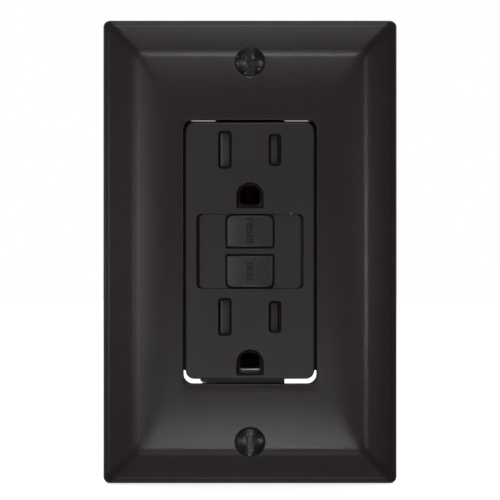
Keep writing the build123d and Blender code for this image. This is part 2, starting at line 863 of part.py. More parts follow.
# --- Contact carrier: a moulded block with wells for everything that carries current ---
carrier_half_width = body_width / 2 - body_wall - seat_gap
carrier_low = body_bottom + body_wall + seat_gap
carrier_high = body_top - body_wall - seat_gap
grip_reach = grip_height / 2 + 2 * seat_gap
rail_low = outlet_rows["lower"] - grip_height / 2
rail_high = outlet_rows["upper"] + grip_height / 2
rail_back = carrier_depth - carrier_floor - seat_gap
rail_front = rail_back - contact_thickness
spine = strap_waist / 2 + slide_gap
terminal_plate_x = body_width / 2 - terminal_recess  # outer face of the terminal plate
terminal_inner_x = terminal_plate_x - terminal_screw_length
arm_near = terminal_z + terminal_half_height  # the arms pass beyond the screws
arm_far = arm_near + terminal_arm
arm_gap = 2 * seat_gap  # between a terminal's arm and the plate's near end
blade_well = grip_mouth - touch_gap
ground_wells = [row_z - ground_drop for row_z in outlet_rows.values()]
with BuildPart() as contact_carrier:
    block(
        (-carrier_half_width, carrier_half_width),
        (seat_gap, carrier_depth),
        (carrier_low, carrier_high),
    )
    for side in poles.values():
        # Long well for the contact strip, floored except under the blades
        block(
            across(side, spine, contact_rail_outer + well_gap),
            (0, carrier_depth - carrier_floor),
            (rail_low - seat_gap, rail_high + seat_gap),
            mode=Mode.SUBTRACT,
        )
        for row_z in outlet_rows.values():
            block(
                across(side, blade_x - blade_well, blade_x + blade_well),
                (0, carrier_depth),
                (row_z - blade_width / 2 - well_gap, row_z + blade_width / 2 + well_gap),
                mode=Mode.SUBTRACT,
            )
        # Switch well
        block(
            across(side, spine, post_contact_x + 2 * well_gap),
            (0, carrier_depth),
            (-switch_z - 2 * line_post_half, switch_z + switch_pad_radius + well_gap),
            mode=Mode.SUBTRACT,
        )
        # Recesses for the side terminals, and the way in for the load arm
        for end in (-1, 1):
            block(
                across(side, terminal_inner_x - well_gap, body_width / 2),
                (terminal_y - terminal_half_depth - well_gap, carrier_depth),
                across(end, terminal_z - terminal_half_height - well_gap, arm_far + well_gap),
                mode=Mode.SUBTRACT,
            )
        block(
            across(side, contact_rail_outer, terminal_inner_x),
            (rail_front - 2 * seat_gap, carrier_depth),
            (arm_near - 2 * seat_gap, arm_far + 2 * seat_gap),
            mode=Mode.SUBTRACT,
        )
    for z in ground_wells:
        rod(spine - carrier_web, (0, carrier_depth), (0, z), mode=Mode.SUBTRACT)
    rod(reset_spring_radius + slide_gap, (0, spring_seat), (0, reset_z), Mode.SUBTRACT)
    rod(reset_pin_radius + slide_gap, (0, carrier_depth), (0, reset_z), Mode.SUBTRACT)
    block(
        (-spine + carrier_web, spine - carrier_web),
        (0, test_spring_floor),
        (test_z - test_spring_low - well_gap, test_z + test_spring_high + well_gap),
        mode=Mode.SUBTRACT,
    )
    rod(pipe_radius + seat_gap, (0, carrier_depth), (lens_x, lens_z), Mode.SUBTRACT)
    for point in post_points:
        rod(post_radius + seat_gap, (0, carrier_depth), point, mode=Mode.SUBTRACT)

# --- Contact strips: a rail with two sprung blade grips, a switch arm and a load terminal ---
terminal_face = terminal_plate_x - terminal_thickness
blade_hole = grip_root - grip_thickness / 2 - seat_gap


def terminal_plate(side, end):
    """Add the plate that a terminal screw clamps, on this side and towards this end."""
    block(
        across(side, terminal_face, terminal_plate_x),
        (terminal_y - terminal_half_depth, terminal_y + terminal_half_depth),
        across(end, terminal_z - terminal_half_height, arm_far),
    )
    cross_rod(
        terminal_screw_radius + seat_gap,
        across(side, terminal_face, terminal_plate_x),
        (terminal_y, end * terminal_z),
        mode=Mode.SUBTRACT,
    )


contact_strips = {}
for pole, side in poles.items():
    with BuildPart() as strip:
        block(
            across(side, spine + 2 * seat_gap, contact_rail_outer),
            (rail_front, rail_back),
            (rail_low, rail_high),
        )
        for row_z in outlet_rows.values():
            block(
                across(side, blade_x - blade_hole, blade_x + blade_hole),
                (rail_front, rail_back),
                (row_z - blade_width / 2, row_z + blade_width / 2),
                mode=Mode.SUBTRACT,
            )
            for lean in (-1, 1):
                with BuildSketch(Plane.XY.offset(row_z - grip_height / 2)) as grip:
                    with BuildLine():
                        ThreePointArc(
                            (side * blade_x + lean * grip_root, rail_back - seat_gap),
                            (side * blade_x + lean * grip_pinch, rail_front - grip_pinch_rise),
                            (side * blade_x + lean * grip_mouth, grip_front),
                        )
                    trace(line_width=grip_thickness)
                extrude(grip.sketch, amount=grip_height)
        block(
            across(side, contact_rail_outer, switch_x + switch_pad_radius),
            (rail_front, rail_back),
            (switch_z - switch_pad_radius, switch_z + switch_pad_radius),
        )
        rod(switch_pad_radius, (rail_back, switch_plane), (side * switch_x, switch_z))
        block(
            across(side, contact_rail_outer, terminal_face),
            (rail_front, rail_back),
            (arm_near + arm_gap, arm_far),
        )
        terminal_plate(side, 1)
    contact_strips[pole] = strip

# --- Line terminals: the arm runs inward, then a leg passes through both sensing cores ---
arm_front = carrier_depth + line_arm_rise
arm_back = arm_front + contact_thickness
board_back = board_front + board_thickness
line_terminals = {}
line_posts = {}
for pole, side in poles.items():
    with BuildPart() as line_terminal:
        terminal_plate(side, -1)
        block(
            across(side, leg_x, terminal_face),
            (arm_front, arm_back),
            (-arm_far, -arm_near - arm_gap),
        )
        block(
            across(side, leg_x, leg_x + leg_width),
            (arm_front, board_back + tail_length),
            (core_z - leg_half_height, core_z + leg_half_height),
        )
    line_terminals[pole] = line_terminal
    with BuildPart() as line_post:
        block(
            across(side, post_contact_x, post_contact_x + contact_thickness),
            (rail_front, board_back + tail_length),
            (-switch_z - line_post_half, -switch_z + line_post_half),
        )
        block(
            across(side, switch_x - switch_pad_radius, post_contact_x),
            (rail_front, rail_back),
            (-switch_z - line_post_half, -switch_z + line_post_half),
        )
        rod(switch_pad_radius, (rail_back, switch_plane), (side * switch_x, -switch_z))
    line_posts[pole] = line_post

# --- Terminal screws, the nut plates behind them and the earth screw ---
terminal_screws = {}
for pole, side in poles.items():
    with BuildPart() as screws:
        for z in (-terminal_z, terminal_z):
            head_seat_x = terminal_plate_x + touch_gap
            head_top = head_seat_x + terminal_screw_head_height
            cross_rod(
                terminal_screw_head_radius,
                across(side, head_seat_x, head_top),
                (terminal_y, z),
            )
            cross_rod(
                terminal_screw_radius,
                across(side, terminal_inner_x, head_seat_x),
                (terminal_y, z),
            )
            block(
                across(side, head_top - screw_slot_depth, head_top),
                (terminal_y - screw_slot_width / 2, terminal_y + screw_slot_width / 2),
                (z - terminal_screw_head_radius, z + terminal_screw_head_radius),
                mode=Mode.SUBTRACT,
            )
    terminal_screws[pole] = screws
nut_outer = terminal_face - wire_gap
nut_half_depth = terminal_half_depth - 2 * pressure_inset
nut_half_height = terminal_half_height - pressure_inset
with BuildPart() as pressure_plates:
    for side in poles.values():
        for z in (-terminal_z, terminal_z):
            block(
                across(side, nut_outer - terminal_thickness, nut_outer),
                (terminal_y - nut_half_depth, terminal_y + nut_half_depth),
                (z - nut_half_height, z + nut_half_height),
            )
            cross_rod(
                terminal_screw_radius + seat_gap,
                across(side, nut_outer - terminal_thickness, nut_outer),
                (terminal_y, z),
                mode=Mode.SUBTRACT,
            )
with BuildPart() as ground_screw:
    ground_centre = (tab_centre_x, tab_mid_y)
    head_z = ground_tab_z - touch_gap
    head_low = head_z - terminal_screw_head_height
    upright(terminal_screw_head_radius, (head_low, head_z), ground_centre)
    upright(terminal_screw_radius, (head_z, body_bottom - seat_gap), ground_centre)
    block(
        (tab_centre_x - screw_slot_width / 2, tab_centre_x + screw_slot_width / 2),
        (tab_mid_y - terminal_screw_head_radius, tab_mid_y + terminal_screw_head_radius),
        (head_low, head_low + screw_slot_depth),
        mode=Mode.SUBTRACT,
    )

# --- Ground contacts: a sheet-metal trough under each pin, with a flange on the strap's back ---
trough_side = ground_pin_radius + ground_contact_thickness / 2 + touch_gap
trough_floor = ground_hole_flat - ground_contact_thickness
with BuildPart() as ground_contacts:
    for z in ground_wells:
        rod(ground_flange_radius, (touch_gap, touch_gap + ground_contact_thickness), (0, z))
        rod(ground_hole_radius + seat_gap, (0, rail_back), (0, z), mode=Mode.SUBTRACT)
        with BuildSketch(front(-rail_back)) as trough:
            with BuildLine():
                FilletPolyline(
                    (-trough_side, z + ground_trough_rise),
                    (-trough_side, z - trough_floor),
                    (trough_side, z - trough_floor),
                    (trough_side, z + ground_trough_rise),
                    radius=ground_trough_radius,
                )
            trace(line_width=ground_contact_thickness)
        extrude(trough.sketch, amount=rail_back - touch_gap)
        # Lugs that join the trough's sides to the flange
        for side in poles.values():
            block(
                across(side, trough_side, ground_flange_radius - seat_gap),
                (touch_gap, touch_gap + ground_contact_thickness),
                (z - ground_lug_height / 2, z + ground_lug_height / 2),
            )
# --- Test spring: a bent leaf under the test button's stem ---
with BuildPart() as test_spring:
    with BuildSketch(Plane.YZ.offset(-test_spring_width / 2)):
        with BuildLine():
            FilletPolyline(
                (test_spring_floor - 2 * seat_gap, test_z - test_spring_low),
                (2 * slide_gap + test_spring_thickness, test_z),
                (test_spring_bend + 4 * seat_gap, test_z + test_spring_high),
                radius=test_spring_bend,
            )
        trace(line_width=test_spring_thickness)
    extrude(amount=test_spring_width)

# --- Latch plate: hooked under the pin's collar by one edge, with a tab for the plunger ---
latch_hole_low = reset_z - reset_collar_radius + latch_catch
latch_hole_high = reset_z + reset_collar_radius + trip_travel + slide_gap
latch_top = latch_hole_high + latch_rim
with BuildPart() as latch_plate:
    block(
        (-latch_half_width, latch_half_width),
        (latch_front, latch_back),
        (latch_bottom, latch_top),
    )
    block(
        (-reset_collar_radius - 2 * seat_gap, reset_collar_radius + 2 * seat_gap),
        (latch_front, latch_back),
        (latch_hole_low, latch_hole_high),
        mode=Mode.SUBTRACT,
    )
    block(
        (-latch_tab_half, latch_tab_half),
        (latch_front, solenoid_y + plunger_radius - 5 * seat_gap),
        (latch_top - latch_thickness, latch_top),
    )

# --- Contact carriage: a beam across both poles, with hooked guides for the latch ---
beam_half = switch_x + bridge_width / 2 + 2 * seat_gap
carriage_back = carriage_front + carriage_thickness
guide_inner = latch_half_width + guide_gap
guide_outer = guide_inner + guide_thickness
hook_front = latch_back + guide_gap
hook_back = hook_front + guide_hook
guide_low = -carriage_half_height + 4 * seat_gap
tail_z = latch_bottom - trip_travel - carriage_half_height
with BuildPart() as contact_carriage:
    block(
        (-beam_half, beam_half),
        (carriage_front, carriage_back),
        (-carriage_half_height, carriage_half_height),
    )
    block(
        (-guide_outer, guide_outer),
        (carriage_front, carriage_back),
        (-carriage_half_height, latch_top),
    )
    block(
        (-tail_half, tail_half),
        (carriage_front, carriage_back),
        (tail_z, -carriage_half_height),
    )
    block(
        (-tail_half, tail_half),
        (carriage_front, hook_back),
        (tail_z, tail_z + guide_thickness),
    )
    for side in poles.values():
        block(
            across(side, guide_inner, guide_outer),
            (carriage_back, hook_back),
            (guide_low, latch_top - latch_rim),
        )
        block(
            across(side, guide_inner - guide_hook, guide_outer),
            (hook_front, hook_back),
            (guide_low, carriage_half_height),
        )
        rod(rivet_radius, (bridge_front + seat_gap, carriage_front), (side * switch_x, 0))
    rod(
        reset_collar_radius + slide_gap,
        (carriage_front, carriage_back),
        (0, reset_z),
        mode=Mode.SUBTRACT,
    )
bridge_half_height = switch_z + switch_pad_radius + slide_gap
with BuildPart() as bridge_contacts:
    for side in poles.values():
        bridge_x = side * switch_x
        bridge_back = bridge_front + bridge_thickness
        block(
            across(side, switch_x - bridge_width / 2, switch_x + bridge_width / 2),
            (bridge_front, bridge_back),
            (-bridge_half_height, bridge_half_height),
        )
        for z in (-switch_z, switch_z):
            rod(switch_pad_radius, (switch_plane + touch_gap, bridge_front), (bridge_x, z))
        rod(rivet_radius + seat_gap, (bridge_front, bridge_back), (bridge_x, 0), Mode.SUBTRACT)

# --- Leaf springs of the carriage and the latch ---
with BuildPart() as carriage_spring:
    with BuildSketch(Plane.XY.offset(-carriage_spring_width / 2)):
        with BuildLine():
            ThreePointArc(
                (-carriage_spring_reach, carrier_depth + 2 * seat_gap),
                (0, carriage_front - 2 * seat_gap),
                (carriage_spring_reach, carrier_depth + 2 * seat_gap),
            )
        trace(line_width=spring_strip)
    extrude(amount=carriage_spring_width)
with BuildPart() as latch_spring:
    with BuildSketch(front(-latch_back)):
        with BuildLine():
            FilletPolyline(
                (-latch_spring_half, tail_z + guide_thickness + spring_strip),
                (0, latch_bottom + seat_gap),
                (latch_spring_half, tail_z + guide_thickness + spring_strip),
                radius=latch_spring_bend,
            )
        trace(line_width=spring_strip)
    extrude(amount=latch_thickness - touch_gap)

# --- Solenoid: wound bobbin in a steel frame, and the plunger that strikes the latch ---
solenoid_top = solenoid_bottom + solenoid_length
solenoid_axis = (0, solenoid_y)
winding_low = solenoid_bottom + bobbin_flange
winding_high = solenoid_top - bobbin_flange
bobbin_flange_radius = solenoid_radius + bobbin_lip
with BuildPart() as solenoid_bobbin:
    upright(bobbin_radius, (solenoid_bottom, solenoid_top), solenoid_axis)
    upright(bobbin_flange_radius, (solenoid_bottom, winding_low), solenoid_axis)
    upright(bobbin_flange_radius, (winding_high, solenoid_top), solenoid_axis)
    upright(
        plunger_radius + 2 * seat_gap,
        (solenoid_bottom, solenoid_top),
        solenoid_axis,
        mode=Mode.SUBTRACT,
    )
with BuildPart() as solenoid_winding:
    upright(solenoid_radius, (winding_low + touch_gap, winding_high - touch_gap), solenoid_axis)
    upright(
        bobbin_radius + touch_gap,
        (winding_low, winding_high),
        solenoid_axis,
        mode=Mode.SUBTRACT,
    )
frame_side = bobbin_flange_radius + seat_gap
frame_low = solenoid_bottom - touch_gap
frame_high = solenoid_top + touch_gap
frame_depths = (solenoid_y - bobbin_flange_radius, solenoid_y + bobbin_flange_radius)
with BuildPart() as solenoid_frame:
    block(
        (-bobbin_flange_radius, frame_side + frame_thickness),
        frame_depths,
        (frame_low - frame_thickness, frame_high + frame_thickness),
    )
    block(
        (-bobbin_flange_radius, frame_side),
        frame_depths,
        (frame_low, frame_high),
        mode=Mode.SUBTRACT,
    )
    upright(
        plunger_radius + slide_gap,
        (frame_low - frame_thickness, frame_low),
        solenoid_axis,
        mode=Mode.SUBTRACT,
    )
with BuildPart() as plunger:
    plunger_top = solenoid_bottom + plunger_overlap
    upright(plunger_radius, (latch_top + touch_gap, plunger_top), solenoid_axis)
    chamfer(plunger.edges().group_by(Axis.Z)[-1], plunger_radius / 4)

# --- Circuit board and what stands on it ---
board_low = carrier_low + board_end_gap
board_high = carrier_high - board_end_gap
notch_reach = post_radius + well_gap
with BuildPart() as circuit_board:
    block(
        (-board_half_width, board_half_width),
        (board_front, board_back),
        (board_low, board_high),
    )
    for x, z in post_points:
        x_side = 1 if x > 0 else -1
        z_side = 1 if z > 0 else -1
        block(
            across(x_side, post_x - notch_reach, board_half_width),
            (board_front, board_back),
            across(z_side, abs(z) - notch_reach, body_height),
            mode=Mode.SUBTRACT,
        )
    for side in poles.values():
        block(
            across(side, leg_x - seat_gap, leg_x + leg_width + seat_gap),
            (board_front, board_back),
            (core_z - leg_half_height - seat_gap, core_z + leg_half_height + seat_gap),
            mode=Mode.SUBTRACT,
        )
        block(
            across(side, post_contact_x - seat_gap, board_half_width + contact_thickness),
            (board_front, board_back),
            (-switch_z - line_post_half - seat_gap, -switch_z + line_post_half + seat_gap),
            mode=Mode.SUBTRACT,
        )
cores = {}
for number, order in (("front", 0), ("rear", 1)):
    core_y = core_front + order * (core_thickness + core_spacing)
    with BuildPart() as core:
        rod(core_radius, (core_y, core_y + core_thickness), (0, core_z))
        rod(core_bore, (core_y, core_y + core_thickness), (0, core_z), mode=Mode.SUBTRACT)
        for ring in (core.edges().group_by(Axis.Y)[0], core.edges().group_by(Axis.Y)[-1]):
            fillet(ring, core_edge)
    cores[number] = core
stand = board_front - touch_gap
with BuildPart() as varistor:
    cross_rod(varistor_radius, varistor_x, (stand - varistor_radius - touch_gap, core_z))
    fillet(varistor.edges(), core_edge)
with BuildPart() as capacitor:
    rod(capacitor_radius, (stand - capacitor_height, stand), (capacitor_x, core_z))
    fillet(capacitor.edges().group_by(Axis.Y)[0], capacitor_radius / 6)
with BuildPart() as control_chip:
    block(chip_x, (stand - chip_height, stand - lead_standoff), chip_z)
    lead_front = stand - chip_height / 2 - lead_thickness / 2
    lead_start = (chip_z[0] + chip_z[1] - lead_pitch * (lead_count - 1)) / 2
    for lead in range(lead_count):
        lead_z = lead_start + lead * lead_pitch
        lead_span = (lead_z - lead_width / 2, lead_z + lead_width / 2)
        feet = (chip_x[0] - lead_reach, chip_x[1] + lead_reach - lead_thickness)
        block(
            (chip_x[0] - lead_reach, chip_x[1] + lead_reach),
            (lead_front, lead_front + lead_thickness),
            lead_span,
        )
        for x in feet:
            block((x, x + lead_thickness), (lead_front, stand), lead_span)
with BuildPart() as thyristor:
    thyristor_back = stand - 2 * lead_standoff
    rod(
        thyristor_radius,
        (thyristor_back - thyristor_height, thyristor_back),
        (thyristor_x, thyristor_z),
    )
    block(
        (thyristor_x - thyristor_radius, thyristor_x + thyristor_radius),
        (thyristor_back - thyristor_height, thyristor_back),
        (thyristor_z + thyristor_flat, thyristor_z + thyristor_radius),
        mode=Mode.SUBTRACT,
    )
with BuildPart() as diodes:
    for x in diode_x:
        for z in diode_z:
            upright(diode_radius, (z, z + diode_length), (x, stand - diode_radius - seat_gap))
with BuildPart() as resistors:
    for x in resistor_x:
        upright(resistor_radius, resistor_z, (x, stand - resistor_radius - lead_standoff))
with BuildPart() as signal_lamp:
    rod(lamp_radius, (stand - lamp_height, stand), (lens_x, lens_z))
    fillet(signal_lamp.edges().group_by(Axis.Y)[0], lamp_radius * 2 / 3)
with BuildPart() as light_pipe:
    rod(
        pipe_radius,
        (-cover_ceiling + touch_gap, stand - lamp_height - 2 * seat_gap),
        (lens_x, lens_z),
    )
    rod(lens_radius, (-face_front + slide_gap, -cover_ceiling + touch_gap), (lens_x, lens_z))

# --- Back cover: a deep cup with windows for the screws and holes for straight wires ---
inner_half = body_width / 2 - body_wall
window_half = terminal_half_height + window_margin
window_depth = terminal_half_depth + 4 * seat_gap
screw_head_front = body_depth - housing_screw_head_height
with BuildPart() as back_cover:
    slab(body_width, body_height, body_corner_radius, (touch_gap, body_depth), (0, body_mid))
    chamfer(back_cover.edges().group_by(Axis.Y)[-1], back_edge)
    # Swelling at the lower end, round the lower earth contact
    block(
        (-spine, spine),
        (touch_gap, ground_well_depth),
        (ground_well_bottom, body_bottom + body_wall),
    )
    block(
        (-inner_half, inner_half),
        (0, body_depth - body_wall),
        (body_bottom + body_wall, body_top - body_wall),
        mode=Mode.SUBTRACT,
    )
    block(
        (-spine + well_wall, spine - well_wall),
        (0, ground_well_depth - well_wall),
        (ground_well_bottom + well_wall, body_bottom + body_wall),
        mode=Mode.SUBTRACT,
    )
    for side in poles.values():
        for end in (-1, 1):
            block(
                across(side, inner_half - seat_gap, body_width / 2 + seat_gap),
                (terminal_y - window_depth, terminal_y + window_depth),
                (end * terminal_z - window_half, end * terminal_z + window_half),
                mode=Mode.SUBTRACT,
            )
            wire_x = side * (terminal_face - wire_gap / 2)
            for step in (-1, 1):
                rod(
                    wire_hole_radius,
                    (body_depth - body_wall, body_depth),
                    (wire_x, end * terminal_z + step * wire_hole_spread),
                    mode=Mode.SUBTRACT,
                )
        # Ledges that carry the board
        block(
            across(side, board_half_width - board_ledge, board_half_width),
            (board_back + touch_gap, body_depth - body_wall),
            (-board_ledge_height / 2, board_ledge_height / 2),
        )
    for point in post_points:
        rod(post_radius, (carrier_depth + well_gap, body_depth - body_wall), point)
        rod(housing_screw_radius + seat_gap, (0, body_depth), point, mode=Mode.SUBTRACT)
        rod(
            housing_screw_head_radius + 2 * seat_gap,
            (screw_head_front, body_depth),
            point,
            mode=Mode.SUBTRACT,
        )
with BuildPart() as housing_screws:
    for point in post_points:
        rod(
            housing_screw_head_radius,
            (screw_head_front + touch_gap, body_depth - touch_gap),
            point,
        )
        rod(
            housing_screw_radius - touch_gap,
            (housing_screw_end, screw_head_front + touch_gap),
            point,
        )

os.makedirs("parts", exist_ok=True)
pieces = {
    "wall_plate": wall_plate,
    "plate_screws": plate_screws,
    "face_cover": face_cover,
    "mounting_strap": mounting_strap,
    "box_screws": box_screws,
    "screw_retainers": screw_retainers,
    "reset_button": reset_button,
    "test_button": test_button,
    "reset_pin": reset_pin,
    "reset_spring": reset_spring,
    "contact_carrier": contact_carrier,
    "pressure_plates": pressure_plates,
    "ground_screw": ground_screw,
    "ground_contacts": ground_contacts,
    "test_spring": test_spring,
    "latch_plate": latch_plate,
    "contact_carriage": contact_carriage,
    "bridge_contacts": bridge_contacts,
    "carriage_spring": carriage_spring,
    "latch_spring": latch_spring,
    "solenoid_bobbin": solenoid_bobbin,
    "solenoid_winding": solenoid_winding,
    "solenoid_frame": solenoid_frame,
    "plunger": plunger,
    "circuit_board": circuit_board,
    "front_sensing_core": cores["front"],
    "rear_sensing_core": cores["rear"],
    "varistor": varistor,
    "capacitor": capacitor,
    "control_chip": control_chip,
    "thyristor": thyristor,
    "diodes": diodes,
    "resistors": resistors,
    "signal_lamp": signal_lamp,
    "light_pipe": light_pipe,
    "back_cover": back_cover,
    "housing_screws": housing_screws,
}
for row in outlet_rows:
    pieces[f"{row}_shutter"] = shutters[row]
    pieces[f"{row}_shutter_tray"] = trays[row]
    pieces[f"{row}_shutter_spring"] = shutter_springs[row]
for pole in poles:
    pieces[f"{pole}_contact_strip"] = contact_strips[pole]
    pieces[f"{pole}_line_terminal"] = line_terminals[pole]
    pieces[f"{pole}_line_post"] = line_posts[pole]
    pieces[f"{pole}_terminal_screws"] = terminal_screws[pole]
for name, piece in pieces.items():
    piece.part.label = name
    export_step(piece.part, f"parts/{name}.step")
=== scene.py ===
"""Looks of a duplex wall outlet with a test and a reset button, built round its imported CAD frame.

Lengths are in metres: X runs right, Y into the wall and Z up, and the wall surface is y = 0.
"""
import json
import math
from functools import partial

import bpy
import numpy as np
from bpy.props import FloatProperty, FloatVectorProperty, PointerProperty, StringProperty
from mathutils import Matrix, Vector


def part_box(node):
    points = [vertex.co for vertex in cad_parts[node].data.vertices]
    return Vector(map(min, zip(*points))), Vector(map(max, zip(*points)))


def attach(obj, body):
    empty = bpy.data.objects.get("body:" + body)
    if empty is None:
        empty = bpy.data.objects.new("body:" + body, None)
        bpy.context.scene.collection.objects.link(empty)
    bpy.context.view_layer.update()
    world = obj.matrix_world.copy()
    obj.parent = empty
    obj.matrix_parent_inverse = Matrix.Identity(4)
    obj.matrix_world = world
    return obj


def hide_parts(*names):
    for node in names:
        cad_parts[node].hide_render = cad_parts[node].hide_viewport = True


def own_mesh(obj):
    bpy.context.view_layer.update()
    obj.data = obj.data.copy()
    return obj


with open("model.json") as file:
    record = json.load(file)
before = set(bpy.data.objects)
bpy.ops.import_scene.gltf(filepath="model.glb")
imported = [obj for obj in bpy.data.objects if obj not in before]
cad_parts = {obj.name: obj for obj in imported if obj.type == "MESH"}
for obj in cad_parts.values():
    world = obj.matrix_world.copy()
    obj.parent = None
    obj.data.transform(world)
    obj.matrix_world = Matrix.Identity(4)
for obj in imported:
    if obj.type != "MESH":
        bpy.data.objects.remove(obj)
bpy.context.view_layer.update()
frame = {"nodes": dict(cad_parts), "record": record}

bl_info = {
    "name": "Duplex Wall Outlet",
    "version": (1, 0, 0),
    "blender": (4, 5, 0),
    "location": "View3D > Sidebar > Outlet",
    "description": "Plate, screws, buttons, lettering and finishes of a duplex wall outlet",
    "category": "Object",
}

MM = 0.001
# A cap's front lies this far inside the frame's box, which leaves room for the print of its word
PRINT_ROOM = 0.04 * MM
# A cap's crown falls as if it reached this far past its sides
CROWN_REACH = 1.0 * MM
# Nearly all of a noise texture's values lie in this range
NOISE_RANGE = {"From Min": 0.3, "From Max": 0.7}
# A band wave repeats every 2 pi / 20 units at scale 1, so this over a pitch is the scale of ridges a pitch apart
BAND_SCALE = 0.31416
plate_low, plate_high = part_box("wall_plate")
plate_screw_low, plate_screw_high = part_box("plate_screws")
box_screw_low, box_screw_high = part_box("box_screws")
earth_screw_low, earth_screw_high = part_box("ground_screw")
reset_low, reset_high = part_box("reset_button")
test_low, test_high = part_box("test_button")


def linear(code):
    """The linear colour of an sRGB hex value: each channel over 0.04045 is ((c + 0.055) / 1.055) ** 2.4."""
    channels = np.array([int(code[i:i + 2], 16) for i in (1, 3, 5)]) / 255
    curve = np.where(channels <= 0.04045, channels / 12.92, ((channels + 0.055) / 1.055) ** 2.4)
    return tuple(float(c) for c in curve)


# --- Sizes and colours that a user would change ---


def length(name, description, default):
    """A length property."""
    return FloatProperty(name=name, description=description, default=default, unit="LENGTH", precision=5)


def colour(name, description, code):
    """A colour property, given as an sRGB hex value."""
    return FloatVectorProperty(
        name=name, description=description, default=linear(code), subtype="COLOR", size=3, min=0, max=1
    )


class OutletPlateSizes(bpy.types.PropertyGroup):
    """Section and opening of the wall plate."""

    rim: length("Rim", "Straight edge above the wall", 2.3 * MM)
    lip_radius: length("Lip radius", "Rounding between the rim and the bevel", 1.3 * MM)
    bevel_width: length("Bevel width", "Plate edge to where the crest starts to round", 7.3 * MM)
    crest_width: length("Crest width", "Rounding from the bevel to the panel's crown", 2.2 * MM)
    crown_width: length("Crown width", "Reach of the panel's crown inboard of the crest", 7.5 * MM)
    crown_rise: length("Crown rise", "Rise of the panel over that width", 0.4 * MM)
    corner_radius: length("Corner radius", "Outline corners", 1.7 * MM)
    opening_width: length("Opening width", "Opening round the face", 33.7 * MM)
    opening_height: length("Opening height", "Opening round the face", 66.82 * MM)
    opening_radius: length("Opening radius", "Opening corners", 2.4 * MM)
    wall: length("Wall", "Thickness of the panel", 1.9 * MM)
    edge_wall: length("Edge wall", "Thickness of the rim", 2.2 * MM)


class OutletScrewSizes(bpy.types.PropertyGroup):
    """Heads, slots and threads."""

    plate_head_radius: length("Plate head radius", "Oval head of a plate screw", 3.55 * MM)
    plate_crown: length("Plate head crown", "Rise of the oval head", 0.8 * MM)
    slot_width: length("Slot width", "Driver slot", 1.15 * MM)
    slot_depth: length("Slot depth", "Driver slot", 0.95 * MM)
    pitch: length("Thread pitch", "Distance between threads", 0.794 * MM)
    box_head_radius: length("Box head radius", "Head of a box screw", 3.4 * MM)
    terminal_head_radius: length("Terminal head radius", "Head of a terminal screw", 3.7 * MM)
    upper_turn: FloatProperty(
        name="Upper slot turn", description="Turn of the upper plate screw", default=math.radians(8), subtype="ANGLE"
    )
    lower_turn: FloatProperty(
        name="Lower slot turn", description="Turn of the lower plate screw", default=0.0, subtype="ANGLE"
    )


class OutletButtonSizes(bpy.types.PropertyGroup):
    """Caps of the two buttons and their words."""

    width: length("Width", "Across a button", 11.7 * MM)
    height: length("Height", "Up a button", 8.0 * MM)
    outer_radius: length("Outer corner radius", "Corners away from the other button", 1.3 * MM)
    inner_radius: length("Inner corner radius", "Corners next to the other button", 0.35 * MM)
    edge_radius: length("Edge radius", "Rounding round the front of a cap", 0.3 * MM)
    crown: length("Crown", "Fall from the middle of a cap to its sides", 0.55 * MM)
    reset_word: StringProperty(name="Upper word", description="Word on the upper button", default="reset")
    test_word: StringProperty(name="Lower word", description="Word on the lower button", default="test")
    word_height: length("Word height", "Height of a tall letter", 2.4 * MM)


class OutletColours(bpy.types.PropertyGroup):
    """Colours of the moulded pieces and their marks."""

    plate: colour("Plate", "Moulded plate", "#1d1718")
    face: colour("Face", "Moulded face", "#1a1416")
    button: colour("Buttons", "Moulded buttons", "#1b1516")
    ink: colour("Words", "Printed words", "#130f0f")
    housing: colour("Housing", "Moulded body", "#262629")


class OutletStageSizes(bpy.types.PropertyGroup):
    """Camera, floor and lamps."""

    camera_distance: length("Camera distance", "Camera to the front of the plate", 530 * MM)
    view_width: length("View width", "Width seen at the front of the plate", 126.7 * MM)
    camera_height: length("Camera height", "Camera above the middle of the device", 0.5 * MM)
    floor_size: length("Floor size", "Side of the floor", 4.0)
    floor: colour("Floor", "Pale floor", "#e8e8e8")


# --- Surfaces: arrays of points in rings, every ring closed ---


def shell(rings, around=False):
    """Vertices and faces of a closed surface whose rows are rings: the ring count wraps where the section itself is
    closed, and otherwise the first and last rings are filled to their middle. Faces are turned to point outwards by
    the sign of the volume that they enclose, the sum of p0 . (p1 x p2) / 6 over the triangles."""
    rows, columns = rings.shape[:2]
    points = rings.reshape(-1, 3)
    i, j = np.meshgrid(np.arange(rows if around else rows - 1), np.arange(columns), indexing="ij")
    below, after = (i + 1) % rows, (j + 1) % columns
    quads = np.stack([i * columns + j, i * columns + after, below * columns + after, below * columns + j], -1)
    quads = quads.reshape(-1, 4)
    triangles = np.zeros((0, 3), int)
    if not around:
        count = len(points)
        points = np.concatenate([points, rings[:1].mean(1), rings[-1:].mean(1)])
        j = np.arange(columns)
        after = (j + 1) % columns
        first = np.stack([after, j, np.full(columns, count)], -1)
        last = (rows - 1) * columns
        final = np.stack([last + j, last + after, np.full(columns, count + 1)], -1)
        triangles = np.concatenate([first, final])
    split = np.concatenate([quads[:, [0, 1, 2]], quads[:, [0, 2, 3]], triangles])
    a, b, c = (points[split[:, k]] for k in range(3))
    if np.einsum("ij,ij->i", a, np.cross(b, c)).sum() < 0:
        quads, triangles = quads[:, ::-1], triangles[:, ::-1]
    return points, quads, triangles


